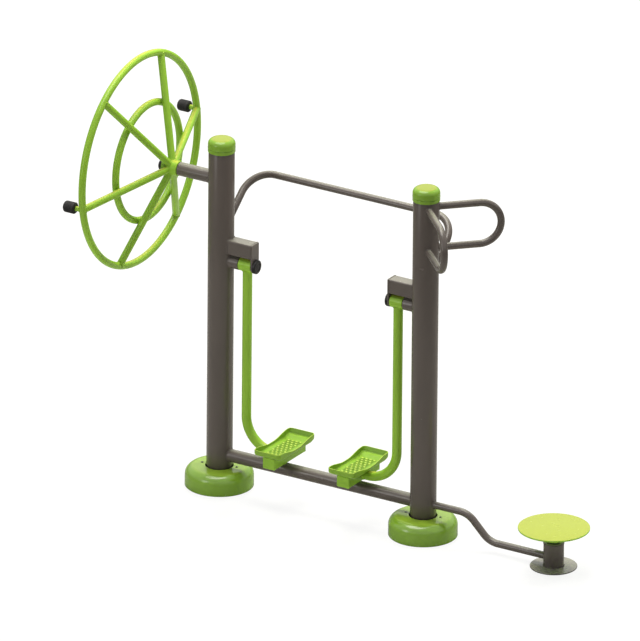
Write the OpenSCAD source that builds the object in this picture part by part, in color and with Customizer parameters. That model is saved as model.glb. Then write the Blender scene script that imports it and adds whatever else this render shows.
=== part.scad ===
// Outdoor air walker station: two posts carry a swinging walker, an arm wheel and grab loops,
// and a low link tube carries a standing waist twister.
// Origin: axis of the left post on the ground. +X runs to the right post, +Y to the handrail, +Z up.

/* [Posts] */
// Distance between the axes of the two posts
post_span = 1030; // [960:5:1200]
// Outside diameter of a post
post_d = 114; // [102:1:121]
// Wall of a post
post_wall = 3; // [2:0.5:6]
// Height at which the cap's skirt ends and the bare post begins
post_bare_h = 1552; // [1540:1:1700]
// How far the post reaches up into its cap
post_in_cap = 38; // [20:1:38]
// Height of a post cap
cap_h = 59; // [50:1:80]
// Wall of a post cap
cap_wall = 2.7; // [2:0.1:4]
// Radius of the cap's rounded shoulder
cap_round = 24; // [14:1:26]
// Height of the raised bead round the cap's skirt
cap_bead_h = 3; // [2:0.5:5]
// How far the bead stands out of the skirt
cap_bead_out = 0.6; // [0.3:0.1:1.2]

/* [Post feet] */
// Diameter of a post's base flange
flange_d = 260; // [240:1:280]
// Thickness of a base flange
flange_t = 10; // [6:1:16]
// Circle through the anchor holes
anchor_circle_d = 200; // [180:1:220]
// Number of anchor holes
anchor_count = 4; // [3:1:8]
// Diameter of an anchor hole
anchor_hole_d = 18; // [12:1:22]
// Outside diameter of a foot cover
cover_d = 300; // [290:1:320]
// Height of a foot cover
cover_h = 90; // [70:1:100]
// Radius of the cover's shoulder
cover_round = 42; // [20:1:48]
// Wall of a foot cover
cover_wall = 3; // [2:0.5:4]
// Open joint between the two halves of a cover
cover_seam = 0.4; // [0.2:0.1:1]
// Radius at which the cover screws sit
cover_screw_r = 79; // [75:1:95]
// Direction of the cover screws, turned from +X towards +Y
cover_screw_turn = 11.9; // [0:0.1:30]
// Distance from the screws' line to the joint between the halves
seam_setback = 11; // [9:1:14]
// Width of the tab under each cover screw
tab_w = 26; // [18:1:30]
// Diameter of a cover screw's head
cover_screw_head_d = 11; // [8:0.5:14]
// Height of a cover screw's head
cover_screw_head_h = 2.4; // [2:0.1:4]
// Diameter of a cover screw's shank
cover_screw_d = 5; // [4:0.5:6]
// Length of a cover screw's shank
cover_screw_l = 14; // [10:1:20]

/* [Crossbar and handrail] */
// Outside diameter of the lower crossbar
crossbar_d = 57; // [48:1:62]
// Wall of the lower crossbar
crossbar_wall = 3; // [2:0.5:5]
// Height of the lower crossbar's axis
crossbar_z = 146; // [125:1:146]
// Outside diameter of the handrail
rail_d = 32; // [28:1:36]
// Wall of the handrail
rail_wall = 2.5; // [1.5:0.5:4]
// Height at which the handrail's axis leaves the face of the post
rail_foot_z = 1207; // [1180:1:1240]
// Distance from the posts' plane to the run of the handrail
rail_reach = 256; // [230:1:320]
// Height of the run of the handrail
rail_run_z = 1378; // [1300:1:1450]
// Bend radius of the handrail
rail_bend_r = 115; // [80:1:130]

/* [Grab loops] */
// Outside diameter of a grab loop's tube
loop_d = 32; // [28:1:36]
// Wall of a grab loop's tube
loop_wall = 2.5; // [1.5:0.5:4]
// Distance from the bare post's top down to a grab loop's upper leg
loop_drop = 33; // [28:1:72]
// Distance between a loop's upper and lower legs
loop_pitch = 190; // [150:1:220]
// Distance from the post's axis to the tip of a loop's axis
loop_reach = 331; // [280:1:360]
// Direction of each loop to either side of +X
loop_turn = 45; // [40:1:60]

/* [Pivot brackets] */
// Height of the axle that a leg swings on
pivot_z = 1052; // [1046:1:1056]
// Width of the bracket arm and its end plate
arm_w = 60; // [50:1:64]
// Height of the bracket arm
arm_h = 66; // [60:1:68]
// Height of the bracket arm's upper face
arm_top_z = 1157; // [1150:1:1165]
// Wall of the bracket arm
arm_wall = 4; // [3:0.5:6]
// Distance from the post's axis to the end of the bracket arm
arm_reach = 167; // [165:1:180]
// Thickness of the end plate
end_plate_t = 7; // [5:0.5:10]
// Outside diameter of the fixed boss and of the turning sleeve beside it
boss_d = 60; // [58:1:64]
// Distance from the post's axis to the end of the fixed boss
boss_reach = 100; // [90:1:105]
// Free gap at each end of the turning sleeve
sleeve_gap = 2; // [1:0.5:3]
// How far the axle's root stands clear of the post
axle_setback = 5; // [3:1:10]
// Diameter of the black cap over the axle's end
axle_cap_d = 62; // [56:1:64]
// Length of the axle cap
axle_cap_l = 14; // [13:0.5:20]
// Radius of the axle cap's outer edge
axle_cap_round = 3.5; // [2:0.5:5]
// Wall of the axle cap
axle_cap_wall = 2.5; // [2:0.5:3]

/* [Axles and bearings] */
// Diameter of every axle where the bearings run
axle_d = 25; // [20:1:30]
// Diameter of the threaded axle end
thread_d = 16; // [12:1:18]
// Width across the flats of an axle nut
nut_w = 24; // [20:1:26]
// Height of an axle nut
nut_h = 8; // [6:0.5:9]
// How far the thread stands past its nut
thread_past_nut = 1.5; // [0.5:0.5:2]
// Outside diameter of a bearing
bearing_d = 52; // [46:1:54]
// Width of a bearing
bearing_w = 15; // [12:1:16]
// How deep the bearings sit in their sleeve or hub
bearing_inset = 3; // [1:0.5:5]
// Depth of the ring groove in a bearing's faces
bearing_groove = 1; // [0.5:0.5:2]

/* [Swinging legs] */
// Outside diameter of a leg tube
leg_d = 42; // [38:1:45]
// Wall of a leg tube
leg_wall = 3; // [2:0.5:4]
// Distance from the post's axis to the leg tube's axis
leg_out = 135; // [132:1:138]
// Bend radius of the leg tube
leg_bend_r = 140; // [110:1:150]
// Height of the leg tube's lower run
leg_foot_z = 210; // [209:1:230]
// Distance from the post's axis to the middle of a foot tray
tray_out = 328; // [310:1:345]
// Width of the tray carrier
carrier_w = 60; // [50:1:70]
// Height of the tray carrier
carrier_h = 50; // [46:1:50]
// Length of the tray carrier with its end plates
carrier_l = 256; // [220:1:256]
// Wall of the tray carrier
carrier_wall = 3; // [2:0.5:4]
// How far the carrier's middle stands above the leg tube's axis
carrier_rise = 2.4; // [2.4:0.1:3]

/* [Foot trays] */
// Width of a foot tray
tray_w = 132; // [118:1:140]
// Length of a foot tray
tray_l = 303; // [286:1:318]
// Height of the rim at the tray's ends
tray_end_h = 35; // [30:1:40]
// Height of the rim at the tray's middle
tray_mid_h = 18; // [15:1:25]
// Wall of a foot tray
tray_wall = 4; // [3:0.5:5]
// Thickness of the tray's floor
tray_floor = 5; // [4:0.5:7]
// Radius of the tray's corners seen from above
tray_corner_r = 18; // [14:1:25]
// How far the tray's sides draw in at the bottom
tray_draft = 12; // [5:1:16]
// Height over which the sides draw in
tray_draft_h = 13; // [8:1:14]
// How far the tray's ends lift off the carrier's plane
tray_end_lift = 9; // [4:1:12]
// Rows of grip studs along the tray
stud_rows = 9; // [5:2:9]
// Studs in a full row
stud_columns = 4; // [2:2:4]
// Distance between rows of studs
stud_row_pitch = 21; // [18:1:22]
// Distance between studs in a row
stud_pitch = 20; // [20:1:22]
// Diameter of a stud at its foot
stud_d = 9.5; // [7:0.5:9.5]
// Height of a stud
stud_h = 3; // [1.5:0.1:3.6]
// Diameter of a tray bolt's head
tray_bolt_head_d = 11; // [9:0.5:11]
// Height of a tray bolt's head
tray_bolt_head_h = 3; // [2:0.5:5]
// Diameter of a tray bolt's shank
tray_bolt_d = 6; // [5:0.5:7]
// Length of a tray bolt's shank
tray_bolt_l = 18; // [12:1:25]

/* [Arm wheel] */
// Distance from the bare post's top down to the wheel's axis
wheel_drop = 129; // [102:1:172]
// Distance from the post's axis to the end of the wheel's shaft tube
wheel_shaft_reach = 210; // [180:1:240]
// Outside diameter of the wheel's shaft tube
wheel_shaft_d = 60; // [56:1:64]
// Outside diameter of the hub
hub_d = 66; // [64.5:0.5:74]
// Wall of the wheel's shaft tube
wheel_shaft_wall = 4; // [3:0.5:5]
// Thickness of the spindle's collar inside the shaft tube
collar_t = 12; // [8:1:20]
// Length of the hub
hub_l = 76; // [70:1:90]
// Diameter of the hub's end cap
hub_cap_d = 52; // [46:1:58]
// Length of the hub's end cap
hub_cap_l = 20; // [16:1:30]
// Radius of the hub cap's outer edge
hub_cap_round = 8; // [3:1:10]
// Radius of the rim's axis
rim_r = 470; // [400:1:500]
// Distance from the post's axis to the rim's plane
rim_out = 413; // [380:1:450]
// Radius of the inner ring's axis
ring_r = 261; // [200:1:320]
// Outside diameter of the rim, ring and spoke tubes
wheel_tube_d = 32; // [26:1:36]
// Wall of the wheel's tubes
wheel_tube_wall = 2; // [1.5:0.5:3]
// Number of spokes
spoke_count = 6; // [4:2:8]
// Direction of the first spoke, turned from +Y towards +Z
spoke_turn = 9.5; // [0:0.5:59]
// How far past the hub's inner end the spokes' axes meet the wheel's axis
spoke_root = 35; // [20:1:45]
// Diameter of a grip
grip_d = 51; // [40:1:56]
// Length of a grip
grip_l = 56; // [45:1:70]
// Radius of the grip's outer edge
grip_round = 10; // [5:1:14]
// Chamfer of the grip's inner end
grip_chamfer = 5; // [2:1:8]
// Solid nose of the grip past its pin
grip_nose = 8; // [6:1:12]
// Diameter of the stub that carries a grip
stub_d = 22; // [18:1:26]
// Distance from the rim's plane to the stub's shoulder
stub_reach = 34; // [30:1:50]
// Free gap between a grip and its stub
grip_gap = 0.4; // [0.2:0.1:1]
// Diameter of the pin that a grip turns on
grip_pin_d = 12; // [10:1:16]

/* [Waist twister] */
// Distance from the right post's axis to the twister's axis
twister_reach = 656; // [600:1:750]
// Diameter of the twister's base plate
base_plate_d = 204; // [180:1:240]
// Thickness of the twister's base plate
base_plate_t = 5; // [4:0.5:10]
// Outside diameter of the pillar
pillar_d = 89; // [76:1:95]
// Wall of the pillar
pillar_wall = 4; // [3:0.5:6]
// Height of the pillar's top, with its head plate
pillar_top_z = 115; // [105:1:118]
// Thickness of the pillar's head plate
head_plate_t = 6; // [5:0.5:10]
// Diameter of the standing disc
disc_d = 311; // [280:1:340]
// Thickness of the standing disc
disc_t = 7; // [5:0.5:10]
// Height of the standing disc's top
disc_top_z = 182; // [180:1:195]
// Outside diameter of the turning bearing housing
housing_d = 60; // [58:1:64]
// Free gap under the bearing housing
housing_gap = 3; // [2:0.5:4]
// Free gap between the upper bearing and the nut over it
nut_gap = 0.5; // [0.3:0.1:1]
// Outside diameter of the link tube
link_d = 32; // [28:1:36]
// Wall of the link tube
link_wall = 2.5; // [1.5:0.5:4]
// Height of the link tube at the post
link_top_z = 148; // [140:1:170]
// Height of the link tube at the pillar
link_low_z = 40; // [30:1:60]
// Distance from the right post's axis to the link tube's first corner
link_corner = 226; // [205:1:260]
// Bend radius of the link tube
link_bend_r = 100; // [70:1:110]
// Slope of the link tube between its bends
link_fall = 45; // [40:1:60]

/* [Fits] */
// Gap that the weld beads of coped tube ends fill
weld_gap = 0.2; // [0.1:0.1:0.4]
// Radial clearance of a turning fit
run_clear = 0.05; // [0.02:0.01:0.1]
// Radial clearance of a bolt, pressed cap or pressed ring
fit_clear = 0.2; // [0.1:0.05:0.3]
// Radial gap between a post and its foot cover
cover_gap = 0.8; // [0.5:0.1:0.9]
// How far a slanting tube laps over the end of its bend
lap_l = 1; // [0.5:0.1:2]
// How much thicker the lapping tube is on each side
lap_step = 0.15; // [0.1:0.05:0.3]

/* [Hidden] */
$fn = 64;
brown = [0.34, 0.31, 0.28];
green = [0.45, 0.62, 0.17];
black = [0.13, 0.13, 0.12];
steel = [0.68, 0.69, 0.70];
// Overrun of every cut past the face that it opens
cut = 3;
post_r = post_d / 2;
post_top_z = post_bare_h + post_in_cap;
cap_r = post_r + fit_clear + cap_wall;
// Height of the cap's bead, halfway up the straight part of the skirt
cap_bead_z = (cap_h - cap_round) / 2;
cover_r = cover_d / 2;
screw_hole_d = cover_screw_d + 2 * fit_clear;
// Upper face of the tab under a cover screw
tab_top = cover_h - cover_wall - fit_clear;
// Direction and length of the handrail's sloping end, from the post's axis to its corner
rail_tilt = atan2(rail_run_z - rail_foot_z, rail_reach - post_r);
rail_slope_l = rail_reach / cos(rail_tilt);
rail_start_z = rail_run_z - rail_slope_l * sin(rail_tilt);
loop_top_z = post_bare_h - loop_drop;
loop_bend_r = loop_pitch / 2;
loop_leg_l = loop_reach - loop_bend_r;
arm_low_z = arm_top_z - arm_h;
plate_out = arm_reach + end_plate_t;
sleeve_start = boss_reach + sleeve_gap;
sleeve_end = arm_reach - sleeve_gap;
sleeve_l = sleeve_end - sleeve_start;
sleeve_wall = (boss_d - bearing_d) / 2 - run_clear;
thread_l = nut_h + thread_past_nut;
// Corner-to-corner width of a nut
nut_corner_d = nut_w / cos(180 / 6);
carrier_top_z = leg_foot_z + carrier_h / 2 + carrier_rise;
carrier_low_z = carrier_top_z - carrier_h;
leg_drop = pivot_z - leg_foot_z;
leg_inset = tray_out - carrier_w / 2 - leg_out;
bolt_hole_d = tray_bolt_d + 2 * fit_clear;
// The tray bolts sit in the second full row of studs from each end
tray_bolt_y = stud_row_pitch * 2;
// Where the rim of a tray begins to rise and where it is level again, as shares of half its length
rim_rise_shares = [0.1, 0.85];
// Points of the tray's end seen from the side, as shares of its rim height and end length
end_flat_share = 0.78;
inner_flat_share = 0.66;
inner_knee_share = 0.9;
rim_steps = 16;
wheel_z = post_bare_h - wheel_drop;
hub_start = wheel_shaft_reach + sleeve_gap;
hub_end = hub_start + hub_l;
spoke_out = hub_start + spoke_root;
spoke_lean = atan2(rim_out - spoke_out, rim_r);
spoke_l = rim_r / cos(spoke_lean);
ring_out = spoke_out + ring_r * tan(spoke_lean) + (wheel_tube_d + weld_gap) / cos(spoke_lean);
grip_start = rim_out + stub_reach + grip_gap;
grip_pin_end = grip_start + grip_l - grip_nose;
twister_x = post_span + twister_reach;
disc_low_z = disc_top_z - disc_t;
housing_low_z = pillar_top_z + housing_gap;
housing_l = disc_low_z - housing_low_z;
// The twister's nut sits above the upper bearing, under the disc
twister_nut_z = disc_low_z - thread_past_nut - nut_h - bearing_inset;
link_drop = link_top_z - link_low_z;
link_corner_l = link_bend_r * tan(link_fall / 2);
link_slope_l = link_drop / sin(link_fall);
link_low_corner = link_corner + link_drop / tan(link_fall);

// Shapes used by several pieces

module ring_area(d, wall) {
    difference() {
        circle(d = d);
        circle(d = d - 2 * wall);
    }
}

// Straight tube along +Z
module tube(l, d, wall) {
    linear_extrude(l) ring_area(d, wall);
}

// Lays what is made along +Z down along +X
module along_x() {
    rotate([0, 90, 0]) children();
}

// Bend of a tube that runs along +X into the origin and turns to the left in the XY plane
module bend(r, turn, d, wall) {
    translate([0, r, 0]) rotate([0, 0, -90])
        rotate_extrude(angle = turn) translate([r, 0]) ring_area(d, wall);
}

// Bent tube that starts along +X and stays in the XY plane. Each step is a straight length,
// the radius of the bend after it and the bend's angle, a multiple of a quarter turn to the left.
module bent_tube(steps, d, wall, i = 0) {
    l = steps[i][0];
    r = steps[i][1];
    turn = steps[i][2];
    along_x() tube(l, d, wall);
    if (turn > 0) {
        translate([l, 0, 0]) {
            bend(r, turn, d, wall);
            translate([r * sin(turn), r * (1 - cos(turn)), 0]) rotate([0, 0, turn])
                bent_tube(steps, d, wall, i + 1);
        }
    }
}

// Outer space of a post, which coped tube ends are cut by
module post_space(x) {
    translate([x, 0, 0]) cylinder(h = post_top_z, r = post_r + weld_gap);
}

// Space of the rim tube, which the spokes and stubs are cut by
module rim_space() {
    translate([-rim_out, 0, 0]) along_x() rotate_extrude()
        translate([rim_r, 0]) circle(r = wheel_tube_d / 2 + weld_gap);
}

// Places a piece of the right side as the mirror image of the left side's
module other_side() {
    translate([post_span, 0, 0]) mirror([1, 0, 0]) children();
}

// Ball bearing along +Z: one ring, with the groove between its races in both faces
module bearing() {
    race = (bearing_d - axle_d) / 6;
    difference() {
        tube(bearing_w, bearing_d - 2 * run_clear, (bearing_d - axle_d) / 2 - 2 * run_clear);
        for (z = [-cut, bearing_w - bearing_groove])
            translate([0, 0, z])
                tube(cut + bearing_groove, bearing_d - 2 * race, (bearing_d - axle_d) / 2 - 2 * race);
    }
}

// Two bearings, one in each end of a sleeve of length l along +Z
module bearing_pair(l) {
    translate([0, 0, bearing_inset]) bearing();
    translate([0, 0, l - bearing_inset - bearing_w]) bearing();
}

// Hexagonal nut along +Z
module nut() {
    difference() {
        cylinder(h = nut_h, d = nut_corner_d, $fn = 6);
        translate([0, 0, -cut]) cylinder(h = nut_h + 2 * cut, d = thread_d + 2 * run_clear);
    }
}

// Plastic cap along +Z, open below, with a rounded outer edge
module end_cap(d, l, round_r, wall) {
    rotate_extrude() difference() {
        cap_area(d / 2, l, round_r);
        cap_area(d / 2 - wall, l - wall, round_r - wall / 2);
    }
}

// Half section of a round cap with a rounded edge at its far end
module cap_area(r, l, round_r) {
    square([r - round_r, l]);
    square([r, l - round_r]);
    translate([r - round_r, l - round_r]) intersection() {
        circle(r = round_r);
        square([round_r, round_r]);
    }
}

// Posts with their caps

module post(x) {
    color(brown) translate([x, 0, flange_t]) tube(post_top_z - flange_t, post_d, post_wall);
}

module post_cap(x) {
    color(green) translate([x, 0, post_bare_h]) rotate_extrude() difference() {
        union() {
            cap_area(cap_r, cap_h, cap_round);
            translate([0, cap_bead_z]) square([cap_r + cap_bead_out, cap_bead_h]);
        }
        cap_area(cap_r - cap_wall, cap_h - cap_wall, cap_round - cap_wall);
    }
}

module left_post() post(0);
module right_post() post(post_span);
module left_post_cap() post_cap(0);
module right_post_cap() post_cap(post_span);

// Post feet

module base_flange(x) {
    color(brown) translate([x, 0, 0]) difference() {
        cylinder(h = flange_t, d = flange_d);
        for (i = [0 : anchor_count - 1])
            rotate([0, 0, (i + 1 / 2) * 360 / anchor_count]) translate([anchor_circle_d / 2, 0, -cut])
                cylinder(h = flange_t + 2 * cut, d = anchor_hole_d);
    }
}

// Whole cover, with its screw holes
module cover_shell() {
    difference() {
        rotate_extrude() difference() {
            cap_area(cover_r, cover_h, cover_round);
            cap_area(cover_r - cover_wall, cover_h - cover_wall, cover_round - cover_wall);
            square([post_r + cover_gap, cover_h + cut]);
        }
        cover_screw_places() translate([0, 0, -cover_wall - cut])
            cylinder(h = cover_wall + 2 * cut, d = screw_hole_d);
    }
}

// Puts a piece at both screws of a cover, at the height of its top
module cover_screw_places() {
    for (side = [-1, 1])
        translate([side * cover_screw_r, 0, cover_h]) children();
}

module cover_half(x, back) {
    color(green) translate([x, 0, 0]) rotate([0, 0, cover_screw_turn]) {
        intersection() {
            cover_shell();
            translate([-cover_d, seam_setback + (back ? cover_seam / 2 : -cover_seam / 2 - 2 * cover_d), -cut])
                cube([2 * cover_d, 2 * cover_d, cover_h + 2 * cut]);
        }
    }
}

// Joining tab of a back half: a plate under the front half's edge, stepped up to the back half
module cover_tab() {
    difference() {
        translate([-tab_w / 2, -tab_w / 2, tab_top - cover_h - cover_wall])
            cube([tab_w, tab_w / 2 + seam_setback + tab_w / 4, cover_wall]);
        translate([0, 0, -2 * cover_wall - cut]) cylinder(h = 2 * cover_wall + 2 * cut, d = screw_hole_d);
    }
    translate([-tab_w / 2, seam_setback + cover_seam, -cover_wall - fit_clear - cut / 2])
        cube([tab_w, tab_w / 4 - cover_seam, fit_clear + cut]);
}

module cover_back(x) {
    color(green) union() {
        cover_half(x, true);
        translate([x, 0, 0]) rotate([0, 0, cover_screw_turn]) cover_screw_places() cover_tab();
    }
}

module left_cover_front() cover_half(0, false);
module left_cover_back() cover_back(0);
module right_cover_front() cover_half(post_span, false);
module right_cover_back() cover_back(post_span);

module left_base_flange() base_flange(0);
module right_base_flange() base_flange(post_span);

module cover_screws() {
    color(black) for (x = [0, post_span])
        translate([x, 0, 0]) rotate([0, 0, cover_screw_turn]) cover_screw_places() {
            translate([0, 0, -cover_screw_l]) cylinder(h = cover_screw_l, d = cover_screw_d);
            cylinder(h = cover_screw_head_h, d1 = cover_screw_head_d, d2 = cover_screw_head_d / 2);
        }
}

// Tubes between and behind the posts

module lower_crossbar() {
    color(brown) difference() {
        translate([0, 0, crossbar_z]) along_x() tube(post_span, crossbar_d, crossbar_wall);
        post_space(0);
        post_space(post_span);
    }
}

module handrail() {
    slope_l = rail_slope_l - rail_bend_r;
    color(brown) difference() {
        translate([post_span, 0, rail_start_z]) rotate([rail_tilt, 0, 0]) rotate([0, 0, 90])
            bent_tube([[slope_l, rail_bend_r, 90], [post_span - 2 * rail_bend_r, rail_bend_r, 90],
                [slope_l, 0, 0]], rail_d, rail_wall);
        post_space(0);
        post_space(post_span);
    }
}

module grab_loop(turn) {
    color(brown) difference() {
        translate([post_span, 0, loop_top_z - loop_pitch]) rotate([0, 0, turn]) rotate([90, 0, 0])
            bent_tube([[loop_leg_l, loop_bend_r, 180], [loop_leg_l, 0, 0]], loop_d, loop_wall);
        post_space(post_span);
    }
}

module front_grab_loop() grab_loop(-loop_turn);
module back_grab_loop() grab_loop(loop_turn);

// Pivot brackets, made for the left post and mirrored for the right one

module bracket_arm() {
    color(brown) difference() {
        translate([0, -arm_w / 2, arm_low_z]) cube([arm_reach, arm_w, arm_h]);
        translate([-cut, arm_wall - arm_w / 2, arm_low_z + arm_wall])
            cube([arm_reach + 2 * cut, arm_w - 2 * arm_wall, arm_h - 2 * arm_wall]);
        post_space(0);
    }
}

module bracket_plate() {
    color(brown) translate([arm_reach, 0, pivot_z]) along_x() difference() {
        linear_extrude(end_plate_t) {
            circle(d = arm_w);
            translate([pivot_z - arm_top_z, -arm_w / 2]) square([arm_top_z - pivot_z, arm_w]);
        }
        translate([0, 0, -cut]) cylinder(h = end_plate_t + 2 * cut, d = thread_d + 2 * fit_clear);
    }
}

module pivot_boss() {
    color(brown) difference() {
        translate([0, 0, pivot_z]) along_x() difference() {
            cylinder(h = boss_reach, d = boss_d);
            translate([0, 0, -cut]) cylinder(h = boss_reach + 2 * cut, d = axle_d + 2 * fit_clear);
        }
        post_space(0);
    }
}

module pivot_axle() {
    start = post_r + axle_setback;
    color(steel) translate([start, 0, pivot_z]) along_x() {
        cylinder(h = arm_reach - start, d = axle_d);
        cylinder(h = plate_out + thread_l - start, d = thread_d);
    }
}

module axle_cap() {
    color(black) translate([plate_out, 0, pivot_z]) along_x()
        end_cap(axle_cap_d, axle_cap_l, axle_cap_round, axle_cap_wall);
}

module left_bracket_arm() bracket_arm();
module left_bracket_plate() bracket_plate();
module left_pivot_boss() pivot_boss();
module left_pivot_axle() pivot_axle();
module left_axle_cap() axle_cap();
module right_bracket_arm() other_side() bracket_arm();
module right_bracket_plate() other_side() bracket_plate();
module right_pivot_boss() other_side() pivot_boss();
module right_pivot_axle() other_side() pivot_axle();
module right_axle_cap() other_side() axle_cap();

// The four nuts of the two leg axles, the wheel's spindle and the twister's spindle
module axle_nuts() {
    color(steel) {
        translate([plate_out, 0, pivot_z]) along_x() nut();
        other_side() translate([plate_out, 0, pivot_z]) along_x() nut();
        translate([-hub_end, 0, wheel_z]) along_x() rotate([180, 0, 0]) nut();
        translate([twister_x, 0, twister_nut_z]) nut();
    }
}

// Swinging legs, made for the left side and mirrored for the right one

module leg_sleeve() {
    color(green) translate([sleeve_start, 0, pivot_z]) along_x() tube(sleeve_l, boss_d, sleeve_wall);
}

module leg_bearings() {
    color(steel) translate([sleeve_start, 0, pivot_z]) along_x() bearing_pair(sleeve_l);
}

module leg_tube() {
    color(green) difference() {
        translate([leg_out, 0, pivot_z]) rotate([90, 90, 0])
            bent_tube([[leg_drop - leg_bend_r, leg_bend_r, 90], [leg_inset - leg_bend_r, 0, 0]],
                leg_d, leg_wall);
        translate([0, 0, pivot_z]) along_x() cylinder(h = tray_out, r = boss_d / 2 + weld_gap);
    }
}

module tray_carrier() {
    tube_l = carrier_l - 2 * carrier_wall;
    color(green) translate([tray_out, 0, carrier_low_z]) difference() {
        translate([-carrier_w / 2, -tube_l / 2, 0]) cube([carrier_w, tube_l, carrier_h]);
        translate([carrier_wall - carrier_w / 2, -carrier_l, carrier_wall])
            cube([carrier_w - 2 * carrier_wall, 2 * carrier_l, carrier_h - 2 * carrier_wall]);
        for (y = [-tray_bolt_y, tray_bolt_y])
            translate([0, y, carrier_h - carrier_wall - cut]) cylinder(h = 2 * cut + carrier_wall, d = bolt_hole_d);
    }
}

module carrier_ends() {
    color(green) for (y = [-carrier_l / 2, carrier_l / 2 - carrier_wall])
        translate([tray_out - carrier_w / 2, y, carrier_low_z]) cube([carrier_w, carrier_wall, carrier_h]);
}

// Height of the tray's rim at a share t of half its length
function rise(t) = t <= rim_rise_shares[0] ? 0 : t >= rim_rise_shares[1] ? 1
    : let (s = (t - rim_rise_shares[0]) / (rim_rise_shares[1] - rim_rise_shares[0])) s * s * (3 - 2 * s);
function rim_h(t) = tray_mid_h + (tray_end_h - tray_mid_h) * rise(abs(t));

// Block as wide as the tray whose side view is the given outline, in the YZ plane
module side_block(points, w) {
    translate([-w / 2, 0, 0]) rotate([90, 0, 90]) linear_extrude(w) polygon(points);
}

// Upright block over the tray's plan, drawn in by the given margin
module plan_block(margin, h) {
    r = tray_corner_r - margin;
    x = tray_w / 2 - tray_corner_r;
    y = tray_l / 2 - tray_corner_r;
    translate([0, 0, -h]) linear_extrude(2 * h) {
        square([2 * (x + r), 2 * y], center = true);
        square([2 * x, 2 * (y + r)], center = true);
        for (i = [-1, 1], j = [-1, 1])
            translate([i * x, j * y]) circle(r = r);
    }
}

// Block as long as the tray whose end view draws in towards the floor
module end_block(margin, low) {
    w = tray_w / 2 - margin;
    rotate([90, 0, 0]) linear_extrude(2 * tray_l, center = true)
        polygon([[-w, tray_end_h + 2 * cut], [-w, low + tray_draft_h], [-w + tray_draft / 4, low + tray_draft_h / 3],
            [-w + tray_draft, low], [w - tray_draft, low], [w - tray_draft / 4, low + tray_draft_h / 3],
            [w, low + tray_draft_h], [w, tray_end_h + 2 * cut]]);
}

// Boat-shaped pan: outer block less the hollow above its floor, with grip studs and bolt holes
module foot_tray() {
    half = tray_l / 2;
    inner = half - tray_wall;
    high = tray_end_h + 2 * cut;
    rim = [for (i = [0 : rim_steps]) let (t = 1 - 2 * i / rim_steps) [t * half, rim_h(t)]];
    foot = [[-half, tray_end_lift], [-half * end_flat_share, 0], [half * end_flat_share, 0], [half, tray_end_lift]];
    hollow = [[-inner, high], [-inner * inner_knee_share, tray_floor + tray_end_lift],
        [-half * inner_flat_share, tray_floor], [half * inner_flat_share, tray_floor],
        [inner * inner_knee_share, tray_floor + tray_end_lift], [inner, high]];
    color(green) translate([tray_out, 0, carrier_top_z]) {
        difference() {
            intersection() {
                side_block(concat(rim, foot), tray_w);
                plan_block(0, high);
                end_block(0, 0);
            }
            intersection() {
                side_block(hollow, tray_w);
                plan_block(tray_wall, 2 * high);
                end_block(tray_wall, tray_floor);
            }
            for (y = [-tray_bolt_y, tray_bolt_y])
                translate([0, y, -cut]) cylinder(h = tray_floor + 2 * cut, d = bolt_hole_d);
        }
        grip_studs();
    }
}

// Staggered rows of low round studs; every second row has one stud fewer
module grip_studs() {
    for (row = [0 : stud_rows - 1]) {
        columns = stud_columns - row % 2;
        for (column = [0 : columns - 1])
            translate([(column - (columns - 1) / 2) * stud_pitch, (row - (stud_rows - 1) / 2) * stud_row_pitch,
                    tray_floor - stud_h / 4])
                cylinder(h = stud_h * 5 / 4, d1 = stud_d, d2 = stud_d / 2, $fn = 24);
    }
}

module tray_bolts() {
    color(steel) for (y = [-tray_bolt_y, tray_bolt_y])
        translate([tray_out, y, carrier_top_z + tray_floor]) {
            translate([0, 0, -tray_bolt_l]) cylinder(h = tray_bolt_l, d = tray_bolt_d);
            cylinder(h = tray_bolt_head_h, d1 = tray_bolt_head_d, d2 = tray_bolt_d);
        }
}

module left_leg_sleeve() leg_sleeve();
module left_leg_bearings() leg_bearings();
module left_leg_tube() leg_tube();
module left_tray_carrier() tray_carrier();
module left_carrier_ends() carrier_ends();
module left_foot_tray() foot_tray();
module left_tray_bolts() tray_bolts();
module right_leg_sleeve() other_side() leg_sleeve();
module right_leg_bearings() other_side() leg_bearings();
module right_leg_tube() other_side() leg_tube();
module right_tray_carrier() other_side() tray_carrier();
module right_carrier_ends() other_side() carrier_ends();
module right_foot_tray() other_side() foot_tray();
module right_tray_bolts() other_side() tray_bolts();

// Arm wheel on the left post; its axis runs along -X

// Moves a piece made round the X axis up to the wheel's axis
module at_wheel() {
    translate([0, 0, wheel_z]) children();
}

module wheel_arm_tube() {
    color(brown) difference() {
        at_wheel() translate([-wheel_shaft_reach, 0, 0]) along_x()
            tube(wheel_shaft_reach, wheel_shaft_d, wheel_shaft_wall);
        post_space(0);
    }
}

module wheel_spindle() {
    color(steel) at_wheel() {
        translate([-wheel_shaft_reach, 0, 0]) along_x()
            cylinder(h = collar_t, d = wheel_shaft_d - 2 * wheel_shaft_wall - 2 * fit_clear);
        translate([-hub_end, 0, 0]) along_x() cylinder(h = hub_end - wheel_shaft_reach + collar_t, d = axle_d);
        translate([-hub_end - thread_l, 0, 0]) along_x() cylinder(h = thread_l + hub_l, d = thread_d);
    }
}

module wheel_hub() {
    color(green) at_wheel() translate([-hub_end, 0, 0]) along_x()
        tube(hub_l, hub_d, (hub_d - bearing_d) / 2 - run_clear);
}

module wheel_bearings() {
    color(steel) at_wheel() translate([-hub_end, 0, 0]) along_x() bearing_pair(hub_l);
}

module wheel_hub_cap() {
    color(black) at_wheel() translate([-hub_end, 0, 0]) rotate([0, -90, 0])
        end_cap(hub_cap_d, hub_cap_l, hub_cap_round, axle_cap_wall);
}

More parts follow.
